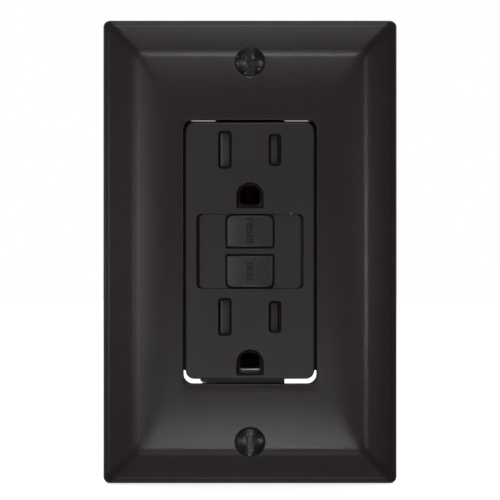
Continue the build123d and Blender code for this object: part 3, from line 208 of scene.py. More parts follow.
def rounded_section(points, radii, steps):
    """A closed section with rounded corners: each arc touches both runs of its corner, so its centre lies on their
    bisector at radius / sin(half the corner), and its points turn evenly from one run to the other."""
    points, radii = np.asarray(points, float), np.asarray(radii, float)[:, None]
    back, ahead = np.roll(points, 1, 0) - points, np.roll(points, -1, 0) - points
    back /= np.linalg.norm(back, axis=1, keepdims=True)
    ahead /= np.linalg.norm(ahead, axis=1, keepdims=True)
    half = np.arccos(np.clip((back * ahead).sum(1, keepdims=True), -1, 1)) / 2
    bisector = (back + ahead) / np.linalg.norm(back + ahead, axis=1, keepdims=True)
    centre = points + bisector * radii / np.sin(half)
    start, end = points + back * radii / np.tan(half) - centre, points + ahead * radii / np.tan(half) - centre
    turn = (math.pi - 2 * half)[:, None]
    t = np.linspace(0, 1, steps)[None, :, None]
    arc = (np.sin((1 - t) * turn) * start[:, None] + np.sin(t * turn) * end[:, None]) / np.sin(turn)
    return (centre[:, None] + arc).reshape(-1, 2)


def divided(section, starts, ends, step):
    """The closed section with more points where it runs between these arc-length marks, at most a step apart."""
    closed = np.concatenate([section, section[:1]])
    run = np.concatenate([[0], np.cumsum(np.linalg.norm(np.diff(closed, axis=0), axis=1))])
    extra = [np.arange(a, b, step) for a, b in zip(starts, ends)]
    marks = np.unique(np.round(np.concatenate([run[:-1], *extra]), 7))
    return np.stack([np.interp(marks, run, closed[:, k]) for k in range(2)], -1)


def loop_columns(across, up, corner):
    """Core place and outward normal of each column of a rounded rectangle, clockwise from its upper left. The core
    place runs from -1 to 1 along the sides, and stays at a corner while the normal turns a quarter."""
    turn = np.linspace(0, math.pi / 2, corner)
    one = np.ones(corner)
    flat_x, flat_z = np.ones(len(across)), np.ones(len(up))
    core_x = [across, one, flat_z, one, -across, -one, -flat_z, -one]
    core_z = [flat_x, one, -up, -one, -flat_x, -one, up, one]
    normal_x = [flat_x * 0, np.sin(turn), flat_z, np.cos(turn), flat_x * 0, -np.sin(turn), -flat_z, -np.cos(turn)]
    normal_z = [flat_x, np.cos(turn), flat_z * 0, -np.sin(turn), -flat_x, -np.cos(turn), flat_z * 0, np.sin(turn)]
    return [np.concatenate(part) for part in (core_x, core_z, normal_x, normal_z)]


def rounded_rings(columns, half_x, half_z, radius, radius_low=None):
    """X and Z of rounded rectangles, one row for each half size: core place * (half size - radius) + radius * normal.
    The corners below the middle may have a radius of their own."""
    core_x, core_z, normal_x, normal_z = (part[None, :] for part in columns)
    half_x, half_z, radius = (np.atleast_1d(np.asarray(v, float))[:, None] for v in (half_x, half_z, radius))
    low = radius if radius_low is None else np.atleast_1d(np.asarray(radius_low, float))[:, None]
    rounding = np.where(core_z >= 0, radius, low)
    x = core_x * (half_x - rounding) + rounding * normal_x
    z = core_z * (half_z - rounding) + rounding * normal_z
    return x, z


def turned(radii, heights, centre, columns):
    """A section of radii and heights above the wall, turned round an axis along Y: (r cos a, -h, r sin a)."""
    angle = np.linspace(0, 2 * math.pi, columns, endpoint=False)[None, :]
    radii, heights = np.asarray(radii, float)[:, None], np.asarray(heights, float)[:, None]
    x, z = centre
    return np.stack([x + radii * np.cos(angle), -heights + 0 * angle, z + radii * np.sin(angle)], -1)


def placed(local, origin, across, along, outward):
    """Points with local x, z and height h set in place: origin + x * across + z * along + h * outward."""
    axes = np.array([across, along, outward], float)
    return np.asarray(origin, float) + local @ axes


def piece(name, shells, body, slot, replaced, crease=32):
    """One mesh object of closed shells, smooth but for edges sharper than the crease angle, riding on a body and with
    the finish of its slot."""
    offset, points, faces = 0, [], []
    for vertices, quads, triangles in shells:
        points.append(vertices)
        faces += (quads + offset).tolist() + (triangles + offset).tolist()
        offset += len(vertices)
    mesh = bpy.data.meshes.new(name)
    mesh.from_pydata(np.concatenate(points), [], faces)
    mesh.validate()
    mesh.shade_smooth()
    mesh.set_sharp_from_angle(angle=math.radians(crease))
    mesh.materials.append(slot_finish(slot))
    made = bpy.data.objects.new(name, mesh)
    bpy.context.scene.collection.objects.link(made)
    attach(made, body)
    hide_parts(*replaced)
    return made


# --- Materials ---


def toned(base, share=1.0):
    """A colour, as an sRGB hex value or already linear, with its channels times this share, as RGBA."""
    channels = linear(base) if isinstance(base, str) else base
    return (*(min(c * share, 1) for c in channels), 1)


def add_node(tree, kind, inputs=None, **settings):
    """Add a node and give its outputs; an input is a value or another node's output, by socket name or number."""
    made = tree.nodes.new(kind)
    for key, value in settings.items():
        setattr(made, key, value)
    for key, value in (inputs or {}).items():
        if isinstance(value, bpy.types.NodeSocket):
            tree.links.new(value, made.inputs[key])
        else:
            made.inputs[key].default_value = value
    return made.outputs


def finish_of(name, inputs, patterns):
    """A material of this name: one Principled surface. patterns is given add_node for its tree and the Object
    coordinates, and returns more of the surface's inputs and the height and depth of its relief."""
    found = bpy.data.materials.get(name)
    if found:
        return found
    made = bpy.data.materials.new(name)
    made.use_nodes = True
    made.node_tree.nodes.clear()
    node = partial(add_node, made.node_tree)
    more, relief, depth = patterns(node, node("ShaderNodeTexCoord")["Object"])
    normal = node("ShaderNodeBump", {"Height": relief, "Distance": depth, "Strength": 1.0})["Normal"]
    surface = node("ShaderNodeBsdfPrincipled", {**inputs, **more, "Normal": normal})["BSDF"]
    node("ShaderNodeOutputMaterial", {"Surface": surface})
    return made


def mottled(node, value, base, dark, light):
    """The base colour in soft patches: times dark where a noise is low, and times light where it is high."""
    tone = node("ShaderNodeMapRange", {**NOISE_RANGE, "Value": value})["Result"]
    return node("ShaderNodeMix", {"Factor": tone, 6: toned(base, dark), 7: toned(base, light)}, data_type="RGBA")[2]


def moulded(
    name, base, grain, depth, roughness, specular, variation=0.08, dull_from=None, ramps=None, patch=14 * MM
):
    """Injection-moulded plastic: a spark-eroded grain of rounded pits, and broad soft flow marks in the colour. Painted
    shade: the walls of slots and holes, past a given depth into the wall, are painted darker and less shiny, and so
    are the lead-in ramps, between two more given depths."""

    def patterns(node, place):
        flow = node("ShaderNodeTexNoise", {"Vector": place, "Scale": 1 / patch, "Detail": 2.0})["Fac"]
        pits = node(
            "ShaderNodeTexVoronoi", {"Vector": place, "Scale": 1 / grain, "Smoothness": 0.6}, feature="SMOOTH_F1"
        )["Distance"]
        fine = node("ShaderNodeTexNoise", {"Vector": place, "Scale": 2.3 / grain, "Detail": 3.0})["Fac"]
        relief = node("ShaderNodeMath", {0: pits, 1: fine}, operation="ADD")[0]
        satin = {**NOISE_RANGE, "Value": fine, "To Min": roughness - 0.05, "To Max": roughness + 0.06}
        surface = {
            "Base Color": mottled(node, flow, base, 1 - variation, 1 + variation),
            "Roughness": node("ShaderNodeMapRange", satin)["Result"],
        }
        if dull_from is None:
            return surface, relief, depth
        # Painted shade: how much of the front's shine and colour is left at each depth: where it changes, and from what
        # to what
        fades = [(dull_from, dull_from + 0.5 * MM, 1.0, 0.25)]
        if ramps is not None:
            fades += [(ramps[0], ramps[0] + 0.08 * MM, 1.0, 0.4), (ramps[1] - 0.12 * MM, ramps[1], 0.4, 1.0)]
        inward = node("ShaderNodeSeparateXYZ", {"Vector": place})["Y"]
        skin, *ramp = [
            node(
                "ShaderNodeMapRange",
                {"Value": inward, "From Min": start, "From Max": end, "To Min": before, "To Max": after},
            )["Result"]
            for start, end, before, after in fades
        ]
        if ramp:
            ramp = node("ShaderNodeMath", {0: ramp[0], 1: ramp[1]}, operation="MAXIMUM")[0]
            skin = node("ShaderNodeMath", {0: skin, 1: ramp}, operation="MULTIPLY")[0]
        # Painted shade: the colour and the shine are lowered by that share
        surface["Base Color"] = node(
            "ShaderNodeVectorMath", {0: surface["Base Color"], "Scale": skin}, operation="SCALE"
        )["Vector"]
        surface["Specular IOR Level"] = node("ShaderNodeMath", {0: skin, 1: specular}, operation="MULTIPLY")[0]
        return surface, relief, depth

    return finish_of(name, {"Specular IOR Level": specular, "IOR": 1.5}, patterns)


def plain_metal(name, base, roughness, streak, depth, tarnish=0.1, along=(1.0, 1.0, 1.0)):
    """Plated or drawn metal: fine streaks left by rolling or turning, and slow changes in shine and tone."""

    def patterns(node, place):
        stretched = node("ShaderNodeMapping", {"Vector": place, "Scale": along})["Vector"]
        lines = node("ShaderNodeTexNoise", {"Vector": stretched, "Scale": 1 / streak, "Detail": 4.0})["Fac"]
        cloud = node("ShaderNodeTexNoise", {"Vector": place, "Scale": 1 / (9 * MM), "Detail": 3.0})["Fac"]
        shine = {**NOISE_RANGE, "Value": lines, "To Min": roughness - 0.07, "To Max": roughness + 0.09}
        surface = {
            "Base Color": mottled(node, cloud, base, 1 - tarnish, 1 + tarnish / 2),
            "Roughness": node("ShaderNodeMapRange", shine)["Result"],
        }
        return surface, lines, depth

    return finish_of(name, {"Metallic": 1.0}, patterns)


def wiped_trough(name, bright, dark, floor):
    """Plated sheet metal, painted nearly black inside the wall as painted shade, but for one bright line of painted
    highlight along the lower trough's floor, at this height."""

    def patterns(node, place):
        up = node("ShaderNodeSeparateXYZ", {"Vector": place})["Z"]
        away = node("ShaderNodeMath", {0: up, 1: floor}, operation="SUBTRACT")[0]
        away = node("ShaderNodeMath", {0: away}, operation="ABSOLUTE")[0]
        cloud = node("ShaderNodeTexNoise", {"Vector": place, "Scale": 1 / (0.7 * MM), "Detail": 3.0})["Fac"]
        # Painted highlight: bright close to the floor's height, dark further off
        wiped = node(
            "ShaderNodeMapRange",
            {"Value": away, "From Min": 0.12 * MM, "From Max": 0.3 * MM, "To Min": 1.0, "To Max": 0.0},
        )["Result"]
        scuffs = node("ShaderNodeMapRange", {**NOISE_RANGE, "Value": cloud, "To Min": 0.7, "To Max": 1.0})["Result"]
        wiped = node("ShaderNodeMath", {0: wiped, 1: scuffs}, operation="MULTIPLY")[0]
        # Painted shade in the dark colour, painted highlight in the bright one
        surface = {
            "Base Color": node(
                "ShaderNodeMix", {"Factor": wiped, 6: toned(dark), 7: toned(bright)}, data_type="RGBA"
            )[2],
            "Roughness": node(
                "ShaderNodeMapRange", {**NOISE_RANGE, "Value": cloud, "To Min": 0.3, "To Max": 0.42}
            )["Result"],
        }
        return surface, scuffs, 0.003 * MM

    return finish_of(name, {"Metallic": 1.0}, patterns)


def painted_steel(name, base, chips, roughness):
    """Lacquer over steel, with a faint orange peel, and chipped in small spots where a little bare metal shows."""

    def patterns(node, place):
        cloud = node("ShaderNodeTexNoise", {"Vector": place, "Scale": 1 / (0.9 * MM), "Detail": 4.0})["Fac"]
        peel = node("ShaderNodeTexNoise", {"Vector": place, "Scale": 1 / (0.35 * MM), "Detail": 2.0})["Fac"]
        worn = node(
            "ShaderNodeMapRange", {"Value": cloud, "From Min": 0.64, "From Max": 0.72, "To Min": 0.0, "To Max": 0.8}
        )["Result"]
        gloss = {**NOISE_RANGE, "Value": peel, "To Min": roughness - 0.05, "To Max": roughness + 0.1}
        surface = {
            "Base Color": node(
                "ShaderNodeMix", {"Factor": worn, 6: toned(base), 7: toned(chips)}, data_type="RGBA"
            )[2],
            "Roughness": node("ShaderNodeMapRange", gloss)["Result"],
        }
        return surface, peel, 0.012 * MM

    return finish_of(name, {"Specular IOR Level": 0.26, "IOR": 1.52}, patterns)


def wound(name, base, dark, pitch, direction, roughness, metallic, depth):
    """Wire or tape wound side by side: round ridges a pitch apart, darker in the grooves between the turns as
    painted shade.
    """

    def patterns(node, place):
        ridges = node(
            "ShaderNodeTexWave",
            {"Vector": place, "Scale": BAND_SCALE / pitch, "Distortion": 0.6, "Detail": 1.0, "Detail Scale": 2.0},
            wave_type="BANDS", bands_direction=direction,
        )["Fac"]
        # Painted shade: the dark colour in the grooves, the base colour on the ridges
        hue = node("ShaderNodeMix", {"Factor": ridges, 6: toned(dark), 7: toned(base)}, data_type="RGBA")[2]
        return {"Base Color": hue}, ridges, depth

    return finish_of(name, {"Metallic": metallic, "Roughness": roughness}, patterns)


def coated(name, base, roughness, bumps, depth, variation=0.07, specular=0.5):
    """Dipped or sprayed resin: a smooth skin with the slow waves of a coat that flowed before it set."""

    def patterns(node, place):
        waves = node("ShaderNodeTexNoise", {"Vector": place, "Scale": 1 / bumps, "Detail": 1.5})["Fac"]
        specks = node("ShaderNodeTexNoise", {"Vector": place, "Scale": 7 / bumps, "Detail": 3.0})["Fac"]
        gloss = {**NOISE_RANGE, "Value": specks, "To Min": roughness - 0.05, "To Max": roughness + 0.08}
        surface = {
            "Base Color": mottled(node, waves, base, 1 - variation, 1 + variation),
            "Roughness": node("ShaderNodeMapRange", gloss)["Result"],
        }
        return surface, waves, depth

    return finish_of(name, {"Specular IOR Level": specular, "IOR": 1.55}, patterns)


def woven_laminate(name, base, thread):
    """Glass cloth under solder mask: two crossed sets of threads show faintly through a glossy skin."""

    def patterns(node, place):
        sets = [
            node(
                "ShaderNodeTexWave", {"Vector": place, "Scale": BAND_SCALE / thread, "Distortion": 0.4},
                wave_type="BANDS", bands_direction=way,
            )["Fac"]
            for way in ("X", "Z")
        ]
        weave = node("ShaderNodeMath", {0: sets[0], 1: sets[1]}, operation="MULTIPLY")[0]
        hue = node("ShaderNodeMix", {"Factor": weave, 6: toned(base, 0.85), 7: toned(base, 1.2)}, data_type="RGBA")[2]
        return {"Base Color": hue}, weave, 0.01 * MM

    return finish_of(name, {"Roughness": 0.28, "IOR": 1.55}, patterns)


def clear_acrylic(name, base):
    """Smoked moulded acrylic, polished on its ends, with faint flow lines down its length."""

    def patterns(node, place):
        drawn = node("ShaderNodeMapping", {"Vector": place, "Scale": (1.0, 0.1, 1.0)})["Vector"]
        lines = node("ShaderNodeTexNoise", {"Vector": drawn, "Scale": 1 / (0.3 * MM), "Detail": 2.0})["Fac"]
        polish = {**NOISE_RANGE, "Value": lines, "To Min": 0.08, "To Max": 0.2}
        return {"Roughness": node("ShaderNodeMapRange", polish)["Result"]}, lines, 0.004 * MM

    return finish_of(name, {"Base Color": toned(base), "Transmission Weight": 0.55, "IOR": 1.49}, patterns)


def slot_finish(slot):
    """The finish of one of the frame's material slots: the function that makes it, its name and its values."""
    colours = bpy.context.scene.outlet_colours
    front = reset_low.y
    maker, *values = {
        # Polycarbonate from a finely grained mould: satin, with a pebble that sparkles where light grazes it
        "plate_plastic": (moulded, "pebble_grained_polycarbonate", colours.plate, 0.42 * MM, 0.012 * MM, 0.25, 0.2),
        # Nylon blend from a matt mould: soft, nearly without highlights
        "face_plastic": (
            moulded, "matt_moulded_nylon", colours.face, 0.3 * MM, 0.01 * MM, 0.34, 0.235, 0.06,
            # Painted shade: past this depth the walls of the slots and holes are painted darker and less shiny, and so
            # are the lead-in ramps between the next two depths
            front + 1.15 * MM, (front + 0.24 * MM, front + 0.74 * MM),
        ),
        # The same nylon from a smoother mould: the crowned caps take a soft shine
        "button_plastic": (
            moulded, "satin_moulded_nylon", colours.button, 0.28 * MM, 0.006 * MM, 0.32, 0.275, 0.05,
            # Painted shade: past this depth the cap's sides and flange are painted darker and less shiny, so the gap
            # round it reads black
            front + 0.8 * MM,
        ),
        # Glass-filled housing plastic: dull, with a slightly cloudy skin where fibres reach the surface
        "housing_plastic": (
            moulded, "glass_filled_polyester", colours.housing, 0.5 * MM, 0.014 * MM, 0.5, 0.4, 0.14,
            None, None, 8 * MM,
        ),
        # Urea moulding compound: pale, chalky, dense
        "carrier_plastic": (moulded, "urea_moulding_compound", "#8b8983", 0.4 * MM, 0.008 * MM, 0.5, 0.4, 0.06),
        # Acetal: smooth, a little waxy
        "shutter_plastic": (moulded, "grey_acetal", "#454342", 0.25 * MM, 0.003 * MM, 0.36, 0.5, 0.05),
        # Black lacquered steel: glossy, with pinhead chips
        "black_screw": (painted_steel, "black_lacquered_steel", "#0e0d0d", "#6f6c6a", 0.25),
        # Zinc-plated steel: bluish, bright, slightly cloudy
        "zinc_steel": (plain_metal, "zinc_plated_steel", "#b4b7bb", 0.34, 0.5 * MM, 0.004 * MM, 0.1, (1.0, 1.0, 6.0)),
        # Cold-rolled strip in dark grey: a dark sheen with long rolling streaks down the strap
        "dark_strap": (
            plain_metal, "blackened_rolled_strip", "#3a3a3c", 0.38, 0.35 * MM, 0.006 * MM, 0.14, (1.0, 1.0, 0.08)
        ),
        # Hard-drawn spring steel: grey, bright along the wire
        "spring_steel": (
            plain_metal, "hard_drawn_spring_steel", "#a9abb0", 0.28, 0.2 * MM, 0.002 * MM, 0.1, (1.0, 0.3, 1.0)
        ),
        # Rolled cartridge brass: warm yellow, slightly tarnished
        "contact_brass": (
            plain_metal, "rolled_cartridge_brass", "#cfae6c", 0.3, 0.3 * MM, 0.003 * MM, 0.16, (1.0, 1.0, 0.1)
        ),
        # Turned brass screws: bright yellow
        "screw_brass": (plain_metal, "turned_brass", "#d3b063", 0.26, 0.25 * MM, 0.003 * MM, 0.12),
        # Nickel-plated steel screws: white, bright
        "screw_silver": (plain_metal, "nickel_plated_steel", "#c2bfb8", 0.24, 0.25 * MM, 0.003 * MM, 0.08),
        # Green-dyed zinc on the earth screw: glassy, slightly uneven in depth of colour
        "screw_green": (coated, "green_dyed_zinc", "#2c6b3b", 0.3, 0.8 * MM, 0.006 * MM, 0.16),
        # Green solder mask over glass cloth: glossy, with the weave just showing
        "board_laminate": (woven_laminate, "solder_mask_on_glass_cloth", "#1f5a34", 0.45 * MM),
        # Enamelled copper, drawn thicker than the real 0.1 mm wire so that its turns show
        "copper_winding": (wound, "enamelled_copper_wire", "#7f452a", "#351a10", 0.3 * MM, "Z", 0.3, 0.85, 0.05 * MM),
        # Natural nylon: milky, softly satin
        "bobbin_plastic": (moulded, "natural_nylon", "#d4cfc0", 0.4 * MM, 0.004 * MM, 0.42, 0.45),
        # Polyimide tape on the cores: overlapped amber turns
        "core_wrap": (wound, "amber_polyimide_tape", "#835a22", "#573812", 1.6 * MM, "X", 0.3, 0.0, 0.03 * MM),
        # Blue epoxy dip: smooth and lumpy, with a wet shine
        "varistor_coat": (coated, "blue_epoxy_dip", "#24468f", 0.3, 1.6 * MM, 0.03 * MM),
        # Drawn aluminium can: soft grey, with fine lines down its sides
        "can_aluminium": (
            plain_metal, "drawn_aluminium_can", "#b9babb", 0.36, 0.2 * MM, 0.002 * MM, 0.1, (1.0, 0.05, 1.0)
        ),
        # Black moulded epoxy, faintly gritty
        "chip_epoxy": (coated, "black_moulded_epoxy", "#232324", 0.5, 0.6 * MM, 0.008 * MM),
        # Tan conformal coat: satin, gathered into soft waves
        "resistor_coat": (coated, "tan_dipped_coat", "#b79a70", 0.36, 1.1 * MM, 0.02 * MM),
        # Smoked acrylic: half clear, polished
        "clear_pipe": (clear_acrylic, "smoked_moulded_acrylic", "#5c5e5f"),
        # Red vulcanised fibre: dull, hard paper board with short fibres in it
        "fibre": (coated, "vulcanised_fibre", "#6b3226", 0.62, 0.5 * MM, 0.01 * MM, 0.18, 0.3),
    }[slot]
    return maker(*values)


# --- Shapes of the pieces ---


def front_height(sizes, panel, s):
    """Height of the plate's front at an inset s from its edge. Its steepness, rise over run, falls a little over the
    bevel, evenly round the crest to the crown's, and evenly over the crown to nothing; the height is what is left of
    the panel's after the rise still to come."""
    crown = 2 * sizes.crown_rise / sizes.crown_width
    rest = panel - sizes.rim - sizes.crown_rise - crown * sizes.crest_width / 2
    bevel = rest / (sizes.bevel_width + sizes.crest_width / 2)
    ends = np.cumsum([0, sizes.bevel_width, sizes.crest_width, sizes.crown_width])
    marks = np.linspace(0, ends[-1], 600)
    steepness = np.interp(marks, ends, [1.08 * bevel, 0.92 * bevel, crown, 0])
    rise = np.concatenate([[0], np.cumsum((steepness[1:] + steepness[:-1]) / 2 * np.diff(marks))])
    return panel - rise[-1] + np.interp(s, marks, rise)


def plate_shells(sizes):
    """The plate's section carried round a rounded rectangle. A point of the section has an inset s from the plate's
    edge and a height h above the wall; its ring has half sizes (width / 2 - s) and (height / 2 - t), where t equals s
    over the bevel and runs ahead of it over the panel, since the opening leaves more panel above than beside it.
    At each screw the front is the lower of the section and a cone that starts level with the screw's face."""
    half_x, half_z = plate_high.x, plate_high.z
    panel = -plate_low.y
    ceiling = panel - sizes.wall
    opening_s, opening_t = half_x - sizes.opening_width / 2, half_z - sizes.opening_height / 2
    lip_s, lip_t = opening_s - sizes.wall, opening_t - sizes.wall
    lip_back = ceiling - 0.9 * MM
    inner_rim = sizes.rim - 0.5 * MM
    crest = sizes.bevel_width + sizes.crest_width
    hollow = crest - 1.2 * MM
    corners = [
        (0, 0), (0, sizes.rim), (sizes.bevel_width, front_height(sizes, panel, sizes.bevel_width)),
        (crest + sizes.crown_width, panel), (opening_s, panel), (opening_s, lip_back), (lip_s, lip_back),
        (lip_s, ceiling), (hollow, ceiling), (sizes.edge_wall, inner_rim), (sizes.edge_wall, 0),
    ]
    radii = [0.2, sizes.lip_radius / MM, 1.0, 1.0, 0.35, 0.15, 0.15, 0.3, 1.2, 1.0, 0.2]
    section = rounded_section(corners, np.array(radii) * MM, 9)
    # Rows close together round the crest, where the screw heads sit, and over the bevel and the crown beside it
    crest_start = sizes.rim + 5 * MM
    starts = [sizes.rim + 0.6 * MM, crest_start, crest_start + 10 * MM]
    section = divided(section, starts, [crest_start, starts[2], starts[2] + 4 * MM], 0.17 * MM)
    s, h = section[:, 0], section[:, 1]
    # The front follows front_height from past the rounded lip to where the opening's edge rounds over
    past_lip, edge_start = 1.5 * MM, opening_s - 0.36 * MM
    is_front = np.arange(len(s)) < np.argmax(s >= edge_start)
    h = np.where(is_front & (s > past_lip), front_height(sizes, panel, s), h)
    t = np.interp(s, [0, crest, lip_s, opening_s], [0, crest, lip_t, opening_t])
    outline = np.interp(s, [0, crest, lip_s], [sizes.corner_radius, sizes.corner_radius, sizes.opening_radius])
    # Columns close together across the screw heads, and wider beside them
    fine = np.linspace(-0.165, 0.165, 57)
    coarse = np.linspace(0.19, 0.985, 15)
    columns = loop_columns(np.concatenate([-coarse[::-1], fine, coarse]), np.linspace(-0.985, 0.985, 31), 9)
    x, z = rounded_rings(columns, half_x - s, half_z - t, outline)
    height = h[:, None] + 0 * x
    # The seat round each screw: its slope and rim, the reach of its rows, and the least wall left under it
    screws = bpy.context.scene.outlet_screws
    screw_z = plate_screw_high.z - screws.plate_head_radius
    screw_face = -plate_screw_low.y - screws.plate_crown
    slope, seat_rim, seat_reach, least_wall = 1.15, screws.plate_head_radius + 0.22 * MM, 4.6 * MM, 0.06 * MM
    reach = np.hypot(x, np.abs(z) - screw_z)
    cone = np.where(reach < seat_rim + 0.12 * MM, screw_face - (seat_rim - reach) * slope, panel)
    seated = np.minimum(height, np.maximum(cone, ceiling + least_wall))
    height = np.where(is_front[:, None] & (reach < seat_reach), seated, height)
    shells = [shell(np.stack([x, -height, z], -1), around=True)]
    # Bosses behind the screws, and the rib frame behind the panel, each grown a little into the panel's back
    root = ceiling + 0.1 * MM
    bore, boss_front, boss_rear, boss_back = 1.8 * MM, 3.35 * MM, 3.2 * MM, 1.4 * MM
    boss = rounded_section(
        [(bore, root), (boss_front, root), (boss_rear, boss_back), (bore, boss_back)],
        [0.02 * MM, 0.02 * MM, 0.2 * MM, 0.1 * MM], 4,
    )
    for side in (-1, 1):
        shells.append(shell(turned(boss[:, 0], boss[:, 1], (0, side * screw_z), 40), around=True))
    rib_x, rib_z, rib_back, rib_half = 27.0 * MM, sizes.opening_height / 2 + sizes.wall, 3.2 * MM, 0.6 * MM
    rib = rounded_section(
        [(-rib_half, root), (rib_half, root), (rib_half - 0.1 * MM, rib_back), (0.1 * MM - rib_half, rib_back)],
        [0.02 * MM, 0.02 * MM, 0.15 * MM, 0.15 * MM], 4,
    )
    plain = loop_columns(np.linspace(-0.97, 0.97, 9), np.linspace(-0.97, 0.97, 17), 6)
    x, z = rounded_rings(plain, rib_x + rib[:, 0], rib_z + rib[:, 0], 1.2 * MM + rib[:, 0])
    shells.append(shell(np.stack([x, -rib[:, 1:] + 0 * x, z], -1), around=True))
    return shells


def head_shell(radius, top, under, slot_width, floor, origin, across, along, outward):
    """A slotted head as two sheets that share a round edge. On the lines x = constant, z runs from one side of the
    circle to the other; the upper sheet is top(r), cut down to the slot's floor where |x| is under half its width,
    and the lower sheet is under(r)."""
    edge = slot_width / 2
    bevel = 0.05 * MM
    x = np.sin(np.linspace(-math.pi / 2, math.pi / 2, 43))[1:-1] * radius
    near = np.array([edge - bevel, edge, edge + bevel, edge + 2 * bevel])
    x = np.unique(np.round(np.concatenate([x[np.abs(np.abs(x) - edge) > 2.5 * bevel], near, -near]), 8))
    b = np.sin(np.linspace(-math.pi / 2, math.pi / 2, 37))
    z = np.sqrt(radius**2 - x**2)[:, None] * b[None, :]
    r = np.hypot(x[:, None], z)
    low = under(r)
    high = np.maximum(top(r), low)
    # How deep the slot is, as a share of its depth: nearly nothing at its edge, which is broken by a small bevel
    depth = np.interp(np.abs(x), [edge - bevel, edge, edge + bevel, edge + 2 * bevel], [1, 0.12, 0.02, 0])[:, None]
    high = np.maximum(high - depth * np.maximum(high - floor, 0), low)
    sheet = np.concatenate([high, low[:, -2:0:-1]], 1)
    wide = np.concatenate([z, z[:, -2:0:-1]], 1)
    local = np.stack([x[:, None] + 0 * wide, wide, sheet], -1)
    return shell(placed(local, origin, across, along, outward))


def thread_shell(radius, pitch, ends, origin, across, along, outward, depth=0.22):
    """A screwed rod between two heights: r = radius - 2 * depth * pitch * wave ** 0.8, where the wave is half of
    1 + cos(2 pi * height / pitch - angle). The thread fades out over a pitch at both ends, and the rod's low end
    tapers over half a pitch."""
    low, high = min(ends), max(ends)
    h = np.linspace(low, high, max(int((high - low) / pitch * 9), 12))[:, None]
    angle = np.linspace(0, 2 * math.pi, 28, endpoint=False)[None, :]
    wave = 0.5 + 0.5 * np.cos(2 * math.pi * h / pitch - angle)
    fade = np.clip(np.minimum(h - low, high - h) / pitch, 0, 1)
    taper = 0.16 * MM * np.clip(1 - (h - low) / (0.5 * pitch), 0, 1)
    r = radius - depth * pitch * 2 * (wave**0.8) * fade - taper
    local = np.stack([r * np.cos(angle), r * np.sin(angle), h + 0 * angle], -1)
    return shell(placed(local, origin, across, along, outward))


def pan_head(radius, height, power):
    """Height of a pan head's top over its seat at a distance r: height * (1 - (r / radius) ** power) ** 0.5."""
    return lambda r: height * np.sqrt(np.clip(1 - (r / radius) ** power, 0, 1))


def flat_seat(r):
    """The flat underside of a head."""
    return 0 * r


def cap_height(sizes, x):
    """Height of a cap's front above the wall: the button's less the print's room, and falling from the middle to the
    sides as crown * (x / (half width + crown's reach)) ** 2."""
    return -reset_low.y - PRINT_ROOM - sizes.crown * (x / (sizes.width / 2 + CROWN_REACH)) ** 2


def button_shells(z_middle, back, sizes, radius_up, radius_down, pocket, stem):
    """A crowned cap. Rings grow from the middle of the front to its rounded edge, go down the sides and out over the
    flange, and return behind it to a pocket, or to a stem on a plain back."""
    front = cap_height(sizes, 0)
    half_x, half_z, edge = sizes.width / 2, sizes.height / 2, sizes.edge_radius
    flange, flange_front = 0.85 * MM, back + 1.0 * MM
    grow = np.linspace(0.1, 1, 12)
    turn = np.linspace(0, math.pi / 2, 6)[1:]
    out = edge * np.sin(turn)
    fall = edge * (1 - np.cos(turn))
    side = np.array([0.0, 0.0, flange, flange, 0.0])
    side_h = np.array([front - 1.3 * MM, flange_front, flange_front, back, back])

    def ring_sizes(size, share):
        """A half size, or a corner radius, of every ring; the flange adds this share of its width to it."""
        ends = [pocket, pocket, 0.3 * MM]
        return np.concatenate([(size - edge) * grow, size - edge + out, size + share * side, ends])

    columns = loop_columns(np.linspace(-0.96, 0.96, 25), np.linspace(-0.95, 0.95, 15), 8)
    x, z = rounded_rings(
        columns, ring_sizes(half_x, 1), ring_sizes(half_z, 1), ring_sizes(radius_up, 0.3), ring_sizes(radius_down, 0.3)
    )
    top = len(grow) + len(turn)
    lowered = np.concatenate([0 * grow, fall])[:, None]
    height = np.zeros_like(x)
    height[:top] = cap_height(sizes, x[:top]) - lowered
    pocket_floor = back + (1.2 * MM if not stem else 0.0)
    height[top:] = np.concatenate([side_h, [back, pocket_floor, pocket_floor]])[:, None]
    shells = [shell(np.stack([x, -height, z + z_middle], -1))]
    if stem:
        rows = np.array([back + 0.2 * MM, -0.4 * MM, -0.6 * MM])
        inset = np.array([0, 0, 0.2 * MM])
        x, z = rounded_rings(columns, 2.3 * MM - inset, 1.3 * MM - inset, 0.25 * MM)
        shells.append(shell(np.stack([x, -rows[:, None] + 0 * x, z + z_middle], -1)))
    return shells


def coil_shell(radius, wire, turns, ends, centre):
    """A round wire wound about Y: its middle runs at radius * (cos a, sin a) in X and Z round the centre while y goes
    evenly from one end to the other, with circles of the wire's size square to that path."""
    a = np.linspace(0, 2 * math.pi * turns, 32 * turns + 1)
    zero = np.zeros_like(a)
    middle = np.stack([centre[0] + radius * np.cos(a), np.linspace(*ends, len(a)), centre[1] + radius * np.sin(a)], -1)
    outward = np.stack([np.cos(a), zero, np.sin(a)], -1)
    climb = (ends[1] - ends[0]) / a[-1]
    path = np.stack([-radius * np.sin(a), zero + climb, radius * np.cos(a)], -1)
    path /= np.linalg.norm(path, axis=-1, keepdims=True)
    side = np.cross(path, outward)
    turn = np.linspace(0, 2 * math.pi, 12, endpoint=False)[:, None]
    return shell(middle[:, None] + wire / 2 * (np.cos(turn) * outward[:, None] + np.sin(turn) * side[:, None]))


